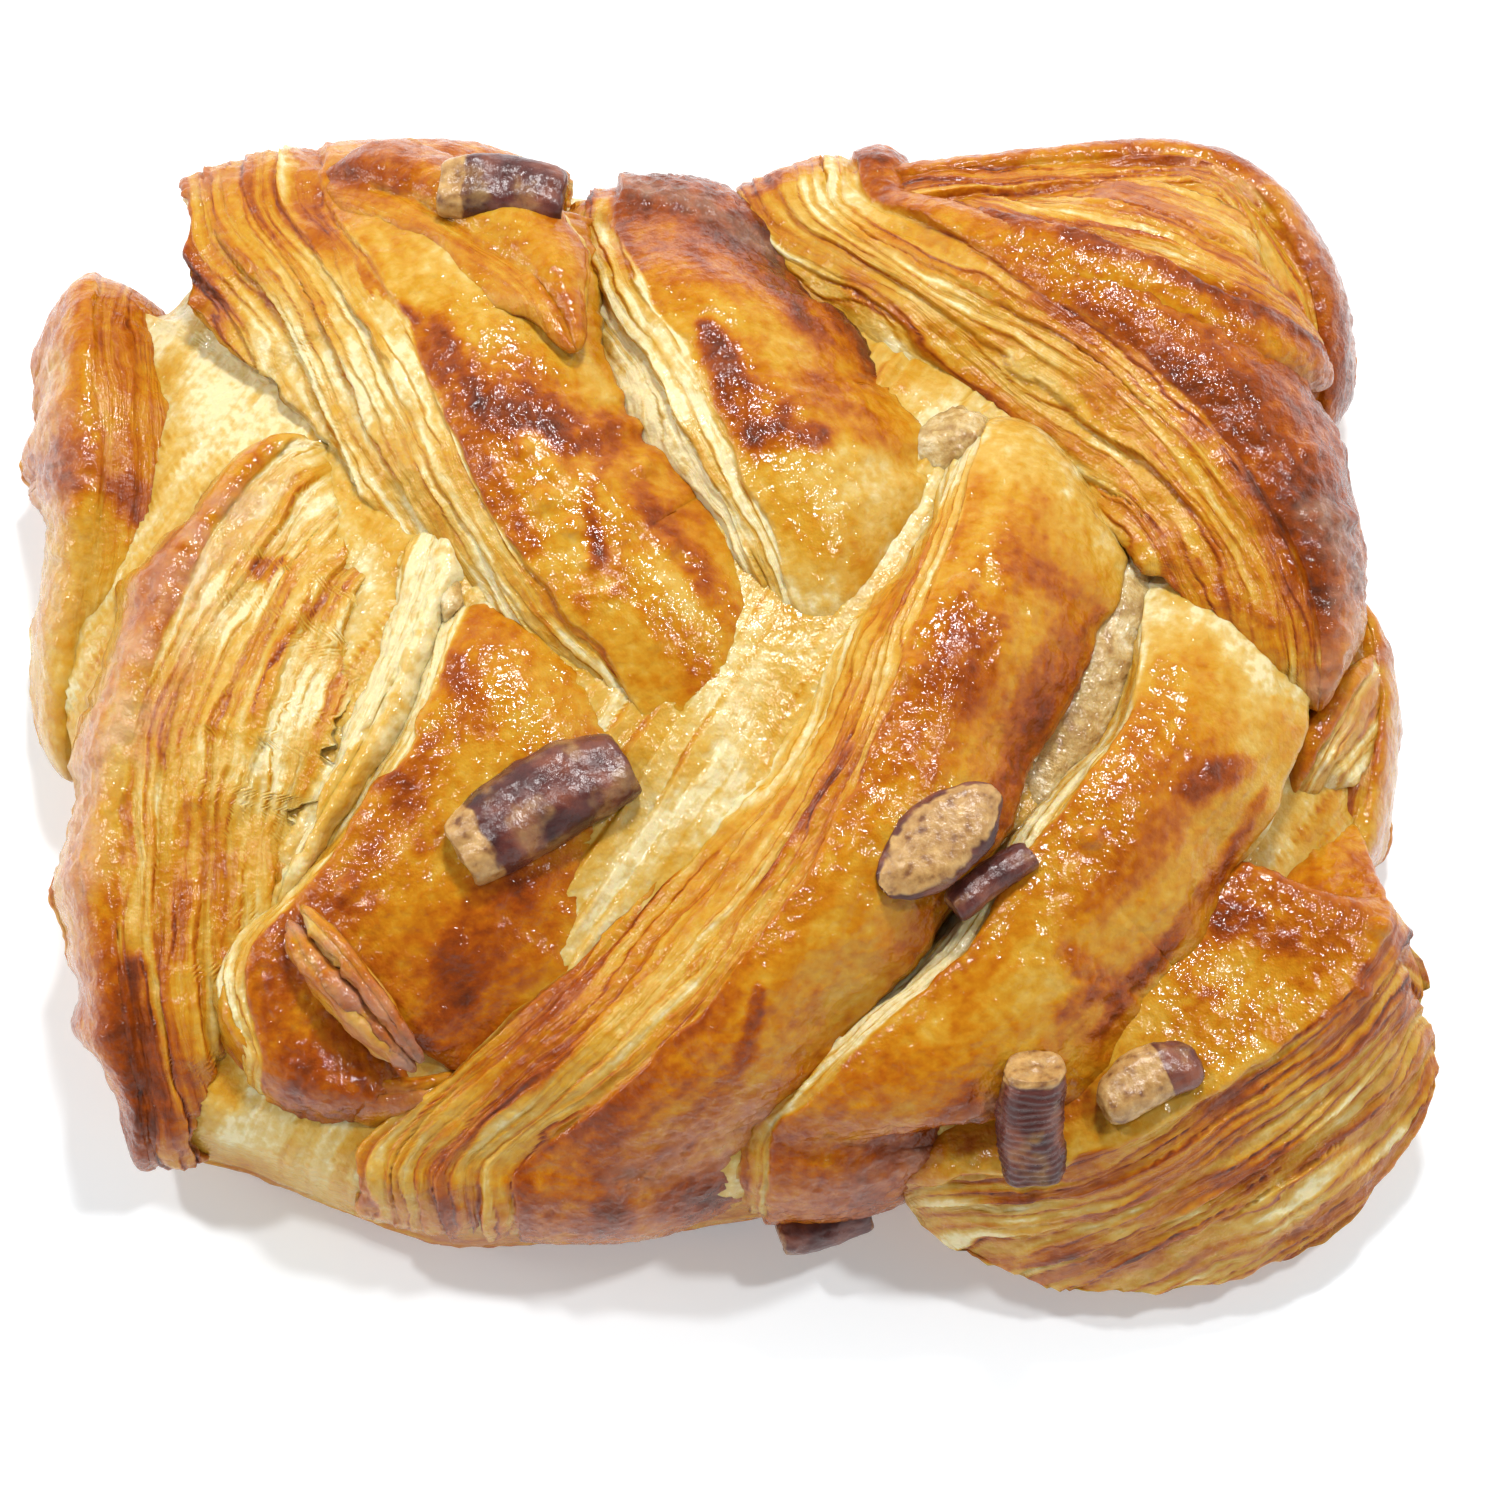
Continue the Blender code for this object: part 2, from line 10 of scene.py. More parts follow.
import bmesh
import bpy
import numpy as np
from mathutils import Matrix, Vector


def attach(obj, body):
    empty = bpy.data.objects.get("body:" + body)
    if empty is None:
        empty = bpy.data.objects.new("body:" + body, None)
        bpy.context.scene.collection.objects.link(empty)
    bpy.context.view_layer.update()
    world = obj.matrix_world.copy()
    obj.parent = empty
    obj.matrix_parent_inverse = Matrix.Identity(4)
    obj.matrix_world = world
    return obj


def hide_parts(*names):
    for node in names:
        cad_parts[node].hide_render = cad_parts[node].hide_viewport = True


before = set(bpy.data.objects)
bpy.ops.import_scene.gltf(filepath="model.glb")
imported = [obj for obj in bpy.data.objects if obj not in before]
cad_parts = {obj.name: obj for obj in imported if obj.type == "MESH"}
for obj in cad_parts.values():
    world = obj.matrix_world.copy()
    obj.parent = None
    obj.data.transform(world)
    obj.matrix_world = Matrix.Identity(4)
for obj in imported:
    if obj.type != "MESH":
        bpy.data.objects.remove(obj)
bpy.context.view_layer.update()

MM = 0.001
MERGE_WITHIN = 2e-6  # metres
PLAN_CENTRE = np.array([-0.79, 2.83, 0.0])

# ---------------------------------------------------------------- camera
VIEW_PIXELS = 1500  # the view is this many pixels wide and high
VIEW_ANGLE, LIFT = 14.5, 72.0  # degrees: the width of view, and how high the camera stands
AIM = np.array([-PLAN_CENTRE[0], -PLAN_CENTRE[1], 15.0])
AIM_PIXEL = (720, 710)
PIXEL_MM = 0.0857  # what one pixel spans at the aim
DISTANCE = VIEW_PIXELS * PIXEL_MM / (2 * math.tan(math.radians(VIEW_ANGLE / 2)))
SENSOR = 36.0
CLIP_START = 0.01  # metres

# ---------------------------------------------------------------- light
# Each lamp is a square that looks at the plait: its place and its side in metres, and its power in watts.
LAMPS = (
    ("back_box", (0.08, 0.5, 0.82), 0.12, 6.4),
    ("spark_right", (0.42, 0.1, 0.85), 0.065, 2.9),
    ("spark_left", (-0.45, 0.2, 0.85), 0.065, 2.9),
    ("side_box", (-0.85, 0.1, 0.35), 0.25, 1.6),
)
FLOOR_HALF, FLOOR_COLOUR, FLOOR_GLOW = 3, (0.86, 0.905, 0.935, 1), 0.2
ROOM_LIGHT = 1.04
ROOM_GREYS = ((0.0, (1, 1, 1)), (0.42, (0.84, 0.84, 0.84)), (0.74, (0.12, 0.12, 0.12)))

# ---------------------------------------------------------------- dough
DOME_RIM, DOME_RISE, DOME_HALF = 12.0, 20.0, (62.0, 52.0)
DOUGH_BELOW_DOME = 2.4
SIDE_BULGE_Z, FOOT_INSET = 7.0, 3.0
FOLD_FOOT_Z, LOWEST_DOUGH = 3.5, 0.4
SQUARE_UP_TO = 0.4
CROWN, CUT_BULGE = 0.9, 0.8
TIP_LENGTH = 6.5
EASE_LENGTH = 3.6
ALONG_STEP, FACE_STEP, CUT_STEP = 0.38, 0.3, 0.17
EDGE_COLUMNS, UNDER_COLUMNS, SIDE_COLUMNS = 12, 8, 12
LEAF_WIDTH, LEAF_LIP = 3.6, 0.75
LAYER_WIDTH, LAYER_LIP = 1.25, 0.42
SKIN_LIP = 0.3
STEEPEST_CUT = 1.8  # how much finer the layers can look on a steep cut side
BELOW_SKIN = 0.6  # the share of the relief that the end walls keep

# How far the features of a strip spread: its wider and narrower stretches, the skin's torn edge, a leaf and
# a layer before they close, how they sway, how a leaf drifts up and down, and crumb, swell, dimples, beads
# and flakes.
WIDTH_WAVE, TORN_WAVE = 5.0, 4.5
LEAF_RUN, LAYER_RUN, DRIFT_RUN = 9, 6, 11
LEAF_SWAY, LAYER_SWAY = (17, 4.5), 2.4
CRUMB, FINE_CRUMB, SWELL, DIMPLE, BEAD, FLAKE = 5.0, 1.0, 9, 2.4, 1.3, 1.5
# How high they stand. Beads stand higher on dark crust.
LEAF_SWAY_HIGH, LAYER_SWAY_HIGH, DRIFT_HIGH = 1.6, 0.3, 0.45
CRUMB_HIGH, FINE_CRUMB_HIGH, SWELL_HIGH, DIMPLE_HIGH = 0.4, 0.12, 0.5, 0.2
BEAD_HIGH, CRUST_BEAD_HIGH, FLAKE_HIGH, FLAKE_DEEP = 0.08, 0.16, 0.4, 0.9
# How far they change the baking. The leaf edge tone darkens each leaf's step, painted shade in the groove.
PATCH_TONE, LEAF_TONE, LAYER_TONE, LEAF_GROOVE_SHADE_TONE = 0.24, 0.12, 0.14, 0.24
# The brink tone darkens each layer's brink, painted shade, and the tread tone pales its tread, painted light.
BRINK_SHADE_TONE, TREAD_LIGHT_TONE, CREAM_TONE, TONE_LEVEL = 0.3, 0.12, 0.17, 0.03
SKIN_PATCH_TONE, SKIN_SPECK_TONE, SKIN_STREAK_TONE, FOOT_TONE = 0.2, 0.09, 0.2, 0.2
STROKE_EDGE_WAVE, STROKE_BREAK_WAVE = 3.0, 2.6

# A row is a point of the crest, x, y and z, the width and drop of the cut side, the width and drop of the
# skin, and the baking of the skin and of the cut side.
Strip = namedtuple("Strip", "name cut fold facing layered thick ragged rows")
STRIPS = (
    Strip("end_flap", "right", 0, 0, False, 8, 0.08, (
        (-56, -5, 8, 2, 3, 3.5, 5, 0.28, 0.25), (-55.8, 5.7, 14, 6, 3, 4.2, 9, 0.26, 0.24),
        (-54.6, 12.8, 17, 8, 3, 5, 12, 0.3, 0.3), (-53.8, 19.2, 19, 9, 4, 7, 13, 0.5, 0.45),
        (-54, 26.2, 19.5, 8.5, 5, 7, 13, 0.48, 0.48), (-54.4, 34.5, 18, 7.5, 6, 6.5, 11, 0.45, 0.46),
        (-54.6, 43, 13, 6, 5, 5.5, 6, 0.55, 0.5))),
    Strip("right_rim", "right", 0, 0, True, 8, 0.08, (
        (55.5, 12, 14, 4, 0, 2, 8, .5, .45), (56.4, 2.7, 15, 8, -1, 2.5, 11, .5, .45),
        (55.8, -4.5, 15, 9, -1, 2.5, 11, .45, .42), (54.4, -11.4, 14, 8, -1, 2.5, 10, .45, .4),
        (53, -17, 12, 4, 0, 1, 7, .5, .45))),
    Strip("back_rim", "right", 0, 0, True, 9, 0.04, (
        (8, 45.5, 18, 3, -1, 2, 8, .66, .54), (15, 46.9, 20.4, 5, -1.5, 3, 9, .66, .54),
        (22, 47.8, 20.8, 8, -3, 3.4, 10, .62, .54), (30.6, 49, 19.5, 11, -5, 4, 11, .6, .54),
        (37.4, 49.6, 19.2, 13, -6, 4.5, 12, .54, .5), (43.9, 48.6, 19.5, 13.5, -5.5, 5, 12, .6, .54),
        (48.6, 43.8, 19.5, 12, -5, 5, 12, .62, .54), (51.3, 37.4, 18.5, 9, -4, 5, 12, .7, .54),
        (52.2, 31, 16.5, 6, -3, 4, 10, .72, .56), (51.8, 24, 12, 4, -2, 3, 8, .6, .5))),
    Strip("front_end", "right", 0, 0, True, 9, 0.02, (
        (13.5, -41, 15, 4, 8, 6, 1, 0.54, 0.54), (21, -41.6, 18.5, 6, 12, 9, 1, 0.44, 0.55),
        (28, -41.3, 20.5, 9, 15.5, 13, 1, 0.36, 0.55), (36.4, -38.3, 22, 11.5, 17, 17, 0, 0.34, 0.55),
        (42.2, -34.4, 22.5, 13, 17, 20, -1, 0.36, 0.56), (48.1, -30.4, 22.5, 12.5, 17, 21, 0, 0.4, 0.57),
        (53, -25.6, 22.8, 10, 14.5, 19, 0.5, 0.48, 0.6), (56, -20.2, 22.2, 3.8, 11, 16, 0.5, 0.56, 0.64),
        (54.8, -15, 17.6, 1.6, 6, 11, 1, 0.42, 0.42), (54.6, -8, 13.5, 1.2, 4, 5, 1, 0.4, 0.42))),
    Strip("front_lip", "left", 0, 0, False, 3, 0.1, (
        (-40.4, -23.5, 22.4, 1, 0, 1, 1.5, .4, .4), (-40.4, -28.6, 21.8, 1.3, 0, 1.4, 2, .46, .46),
        (-37, -32.8, 21.2, 1.6, 0, 1.6, 3, .54, .5), (-30.6, -35.2, 21, 1.7, 0, 1.6, 3, .52, .5),
        (-25, -35.4, 21, 1.4, 0, 1.5, 3, .5, .5), (-19.4, -32.4, 20.6, 1, 0, 1, 2, .44, .42))),
    Strip("front_5", "right", 0, 0, True, 7, 0.08, (
        (48.1, -9.8, 19, 3, 3, 2, 3, .45, .4), (50.9, -4.7, 20, 4, 4, 3, 3, .42, .38),
        (54, 0.5, 19, 4, 5, 3, 4, .45, .4), (56.9, 6, 16, 2, 4, 1, 4, .55, .45))),
    Strip("front_1", "right", 2.5, -95, True, 9, 0.14, (
        (-48, -36, 15.2, 4, 1, 3, 7, 0.66, 0.66), (-49.4, -31.3, 18.2, 7.5, 0, 4.4, 9, 0.62, 0.56),
        (-50.2, -25.4, 20.4, 12, -.5, 4.8, 10, 0.52, 0.44),
        (-50.6, -18.1, 22, 15.5, -1, 5.2, 10, 0.44, 0.36),
        (-50.4, -11, 22.8, 17, -1.5, 5.4, 9.5, 0.4, 0.32), (-49.2, -4.8, 23.9, 17.5, -2, 6, 9, 0.38, 0.29),
        (-47.4, 1.5, 24.8, 18.5, -1.5, 6, 8, 0.38, 0.28), (-45, 8.2, 25.4, 19.5, -.5, 5.6, 7, 0.38, 0.26),
        (-42, 14.2, 25.2, 20, 0, 4.4, 6, 0.38, 0.24), (-37.8, 19.8, 24.6, 18, 1, 3, 4, 0.33, 0.2),
        (-33.5, 23.6, 23, 14, 3, 2, 4, 0.28, 0.16))),
    Strip("pale_fold", "left", 0, 0, True, 7, 0.3, (
        (-37.8, -21.8, 23, .8, 1.5, .8, 1, .2, .14), (-35.2, -16.8, 24.8, 1.2, 1.5, 1, 1, .16, .08),
        (-32, -11, 26.4, 1.5, 1.5, 1.2, 1, .12, .03), (-28.6, -4.9, 27.5, 2, 1.5, 1.8, 1, .06, .01),
        (-26, 2.1, 28.2, 2.6, 1.5, 2.4, 1, .02, .01), (-24.1, 9.1, 28.4, 2.8, 1.5, 2.4, 1, .02, .02),
        (-22.6, 14, 28, 1.6, 1.5, 1.4, 1, .06, .06))),
    Strip("front_2", "left", 2, -110, True, 9, 0.04, (
        (-37.2, -33, 22.3, 4, 3, 13, 4, .58, .4), (-39.3, -28.2, 23.6, 3.6, 4, 15, 4, .6, .36),
        (-38.3, -23.6, 24.8, 3.2, 5, 17.5, 4.5, .6, .3), (-34.3, -19.8, 26.3, 3, 5.5, 19.5, 4.5, .55, .24),
        (-30.3, -14.3, 27.8, 2.8, 6, 21.8, 4.5, .52, .2), (-25.9, -8, 29.3, 3, 6, 23.5, 5, .48, .18),
        (-23.6, -3.7, 30, 3, 5, 22, 5, .42, .16), (-21.9, 1.9, 29.4, 2.6, 4, 19, 5, .38, .14),
        (-19.5, 9, 26, 2, 3, 15, 5, .3, .14))),
    Strip("back_1", "right", 8, 92, True, 9, 0.05, (
        (-34.5, 44.3, 22, 12.5, 2.5, 21, 3, 0.47, 0.49), (-31, 38.8, 26, 14.5, 7, 20, 3, 0.37, 0.4),
        (-27.1, 31.4, 29, 11.5, 7, 17, 3, 0.32, 0.34), (-23.3, 22.8, 31, 9.4, 6.5, 14, 3, 0.37, 0.32),
        (-19.9, 14.5, 32, 6.9, 6, 14, 3.5, 0.38, 0.32), (-14.1, 5, 32, 5.1, 5, 16.5, 4, 0.38, 0.34),
        (-9.1, -0.4, 31, 4.5, 5, 18, 4.5, 0.38, 0.34), (-4.2, -10.1, 27, 3, 4, 17, 5, 0.34, 0.32),
        (2, -17, 22, 2, 3, 14, 5, 0.22, 0.24))),
    Strip("back_2", "right", 7, 85, True, 9, 0.04, (
        (-9, 42, 23, 6, 4, 16, 5, 0.66, 0.34), (-6.7, 34, 29, 5, 4, 16.2, 7, 0.56, 0.24),
        (-2.5, 27.1, 31, 8.6, 5, 15.6, 8, 0.41, 0.18), (-0.4, 20.6, 32, 6.4, 4, 15.6, 7.5, 0.36, 0.14),
        (2.5, 14.5, 32, 4.8, 4, 16, 6.5, 0.24, 0.13), (5.4, 7.9, 31, 3.5, 3, 14, 6, 0.15, 0.15),
        (7.5, 1.9, 28, 2, 2, 9.5, 5, 0.16, 0.2), (11, -6, 23, 1, 2, 6, 5, 0.16, 0.21))),
    Strip("torn_flap", "right", 0, 0, False, 0.8, 0.16, (
        (-35.5, 46.6, 21.4, 2.5, .8, 4, 2.5, .6, .5), (-28.8, 44, 25, 3.8, .4, 5, 2.2, .58, .46),
        (-22.5, 39.8, 27.6, 4.2, .2, 5.8, 2, .52, .42), (-17.2, 35.2, 29.8, 3.8, .1, 4.8, 1.4, .46, .4),
        (-14, 31, 31.2, 3, .1, 3, .6, .46, .42), (-12, 26.4, 32, 1.8, .1, 1.2, .3, .5, .5))),
    Strip("front_3", "left", 4, -92, True, 9, 0.03, (
        (-16.5, -41, 19, 14, 1.5, 19, 4, 0.6, 0.5), (-9, -36.8, 25, 12, 1.5, 13.5, 5.5, 0.57, 0.46),
        (-3.3, -32.6, 29, 11.5, 4, 12, 6, 0.5, 0.41), (1.7, -27.3, 32, 10.8, 5.5, 10.5, 6, 0.46, 0.38),
        (5.8, -21.8, 34, 10, 6.5, 10.7, 5, 0.44, 0.36), (9.5, -16, 35, 9.2, 6.5, 11, 5, 0.43, 0.35),
        (12.4, -10.2, 35.5, 8, 7, 12, 5, 0.47, 0.36), (14.8, -4.1, 35.5, 7, 6.5, 12, 6, 0.49, 0.34),
        (17.3, 3, 35, 5.4, 6, 13.2, 6, 0.49, 0.33), (19.9, 9.8, 33, 4, 5, 13.8, 6, 0.4, 0.3),
        (21.6, 18, 29.4, 3, 4, 13, 5, 0.21, 0.2), (24, 24.6, 25, 2, 3, 11, 4, 0.15, 0.2))),
    Strip("front_4", "left", 4, -88, True, 9, 0.03, (
        (3.8, -39.4, 20, 5, 5, 18, 5, 0.62, 0.4), (7.4, -37, 25, 4, 5, 18.5, 6, 0.57, 0.28),
        (13, -32.3, 28, 4, 5, 16, 7.5, 0.48, 0.14), (19.1, -26.8, 30, 3.5, 5, 14.5, 8, 0.42, 0.11),
        (22.4, -21.8, 31, 3, 5, 14.5, 8, 0.4, 0.16), (25.7, -16.7, 31.5, 2.5, 5, 14.6, 8, 0.38, 0.21),
        (30.6, -10.8, 31.5, 2, 5, 14, 8, 0.44, 0.26), (34.4, -4.4, 29.8, 1.5, 5, 13.8, 6, 0.36, 0.26),
        (36, 4, 26.8, 1.5, 4, 14, 5, 0.18, 0.18), (37.6, 10, 24, 1, 3, 13, 4, 0.1, 0.12),
        (41, 18, 19, 1, 3, 11, 4, 0.1, 0.12))),
    Strip("back_3", "right", 6.5, 95, True, 9, 0.03, (
        (12.5, 45.3, 21, 12.5, 3, 6, 4, 0.52, 0.38), (17.6, 40.9, 26, 10.3, 6, 8, 5, 0.47, 0.4),
        (23.4, 36.4, 28.5, 12.9, 7, 10, 6, 0.44, 0.44), (30, 31.2, 29.5, 13.7, 8, 11, 6, 0.54, 0.42),
        (36.6, 26.2, 30, 12.5, 5.5, 11, 6, 0.66, 0.42), (42.5, 19.6, 30, 12, 3.5, 10.5, 7, 0.7, 0.42),
        (47, 13, 29, 11.5, 2.2, 9, 8, 0.72, 0.44), (49.6, 6.7, 27.4, 9.5, 1.2, 6.5, 9, 0.66, 0.46),
        (50.6, 1.5, 25.2, 6, .8, 4.5, 9, 0.5, 0.46), (50.8, -3, 22.5, 2, 1, 2, 5, 0.5, 0.46))),
    Strip("back_4", "left", 0, 0, True, 8, 0.03, (
        (14, 45, 15.5, 2, 3, 2, 1, .62, .54), (18.4, 44.2, 20.6, 3, 4, 3, 1, .62, .54),
        (22, 42.3, 25, 4.5, 5, 5, 1.5, .6, .5), (27.6, 39.3, 28.3, 7.5, 6.5, 7, 2.5, .54, .46),
        (35.8, 36.1, 29.5, 10.5, 7, 9, 3.5, .5, .44), (44.3, 32.4, 28.5, 10, 7, 9, 4, .52, .48),
        (50.6, 30.3, 24.5, 5.5, 6, 6, 3, .6, .54), (54, 28.8, 17, 1, 4, 2, 2, .65, .6))),
    Strip("curl", "right", 0, 0, True, 1.6, 0.12, (
        (-35, -20.8, 27.8, .3, .6, .4, .6, .5, .4), (-32.6, -23.8, 28.9, .7, .7, .8, .6, .4, .36),
        (-29.6, -27.4, 29, .8, .8, .9, .7, .4, .4), (-26.7, -31.2, 27.9, .6, .7, .6, .6, .5, .46),
        (-24.2, -34.2, 25.8, .3, .8, .3, .6, .72, .62))),
    Strip("curl_under", "right", 0, 0, True, 1.6, 0.12, (
        (-36, -21.8, 26.8, .3, .8, .4, .8, .62, .54), (-34.2, -25.2, 27.4, .8, .9, .7, .9, .52, .46),
        (-31.3, -28.8, 27.5, .9, .9, .7, .9, .54, .5), (-28, -32, 26.4, .7, .8, .6, .8, .6, .54),
        (-24.8, -34.6, 25, .3, .8, .3, .8, .72, .64))),
)

BASE_OUTLINE = (
    (-57, 1), (-54.5, -12), (-53, -24), (-48.5, -35), (-39, -39), (-31, -42), (-24, -44.5), (-15, -44.5),
    (-2, -43), (8, -41.5), (15, -40), (25, -41), (35, -43.5), (46, -41.5), (52.5, -35), (55, -26),
    (55, -14), (56, -4), (56.5, 8), (55, 18), (52, 29), (51.5, 40), (46, 48), (36, 50.5), (22, 50),
    (8, 49.5), (0, 46.5), (-8, 49), (-22, 51), (-36, 51), (-43.5, 45.5), (-49, 38), (-56, 39.5),
    (-58.5, 30), (-58, 15),
)
BASE_BAKE = 0.13
BASE_GRAIN = 57  # degrees: the way the dough is stretched between the strips
BASE_SPOKES, BASE_FOOT_RINGS, BASE_TOP_RINGS, BASE_UNDER_RINGS = 640, 24, 120, 6
BASE_ROUND = 340  # about how far it is round the base
BASE_LAYER_TOP, BASE_LAYER_SIDE, BASE_LAYER_LIP = 1.9, 1.3, 0.7
BASE_SWELL, BASE_SWELL_HIGH, BASE_CRUMB, BASE_CRUMB_HIGH = 6.0, 0.5, 1.1, 0.12
BASE_PATCH_TONE, BASE_LAYER_TONE, BASE_BRINK_TONE = 0.16, 0.13, 0.2
BASE_SIDE_TONE, BASE_FOOT_TONE, BASE_SIDE_LAYER_TONE = 0.26, 0.25, 0.1  # added on the bulging side
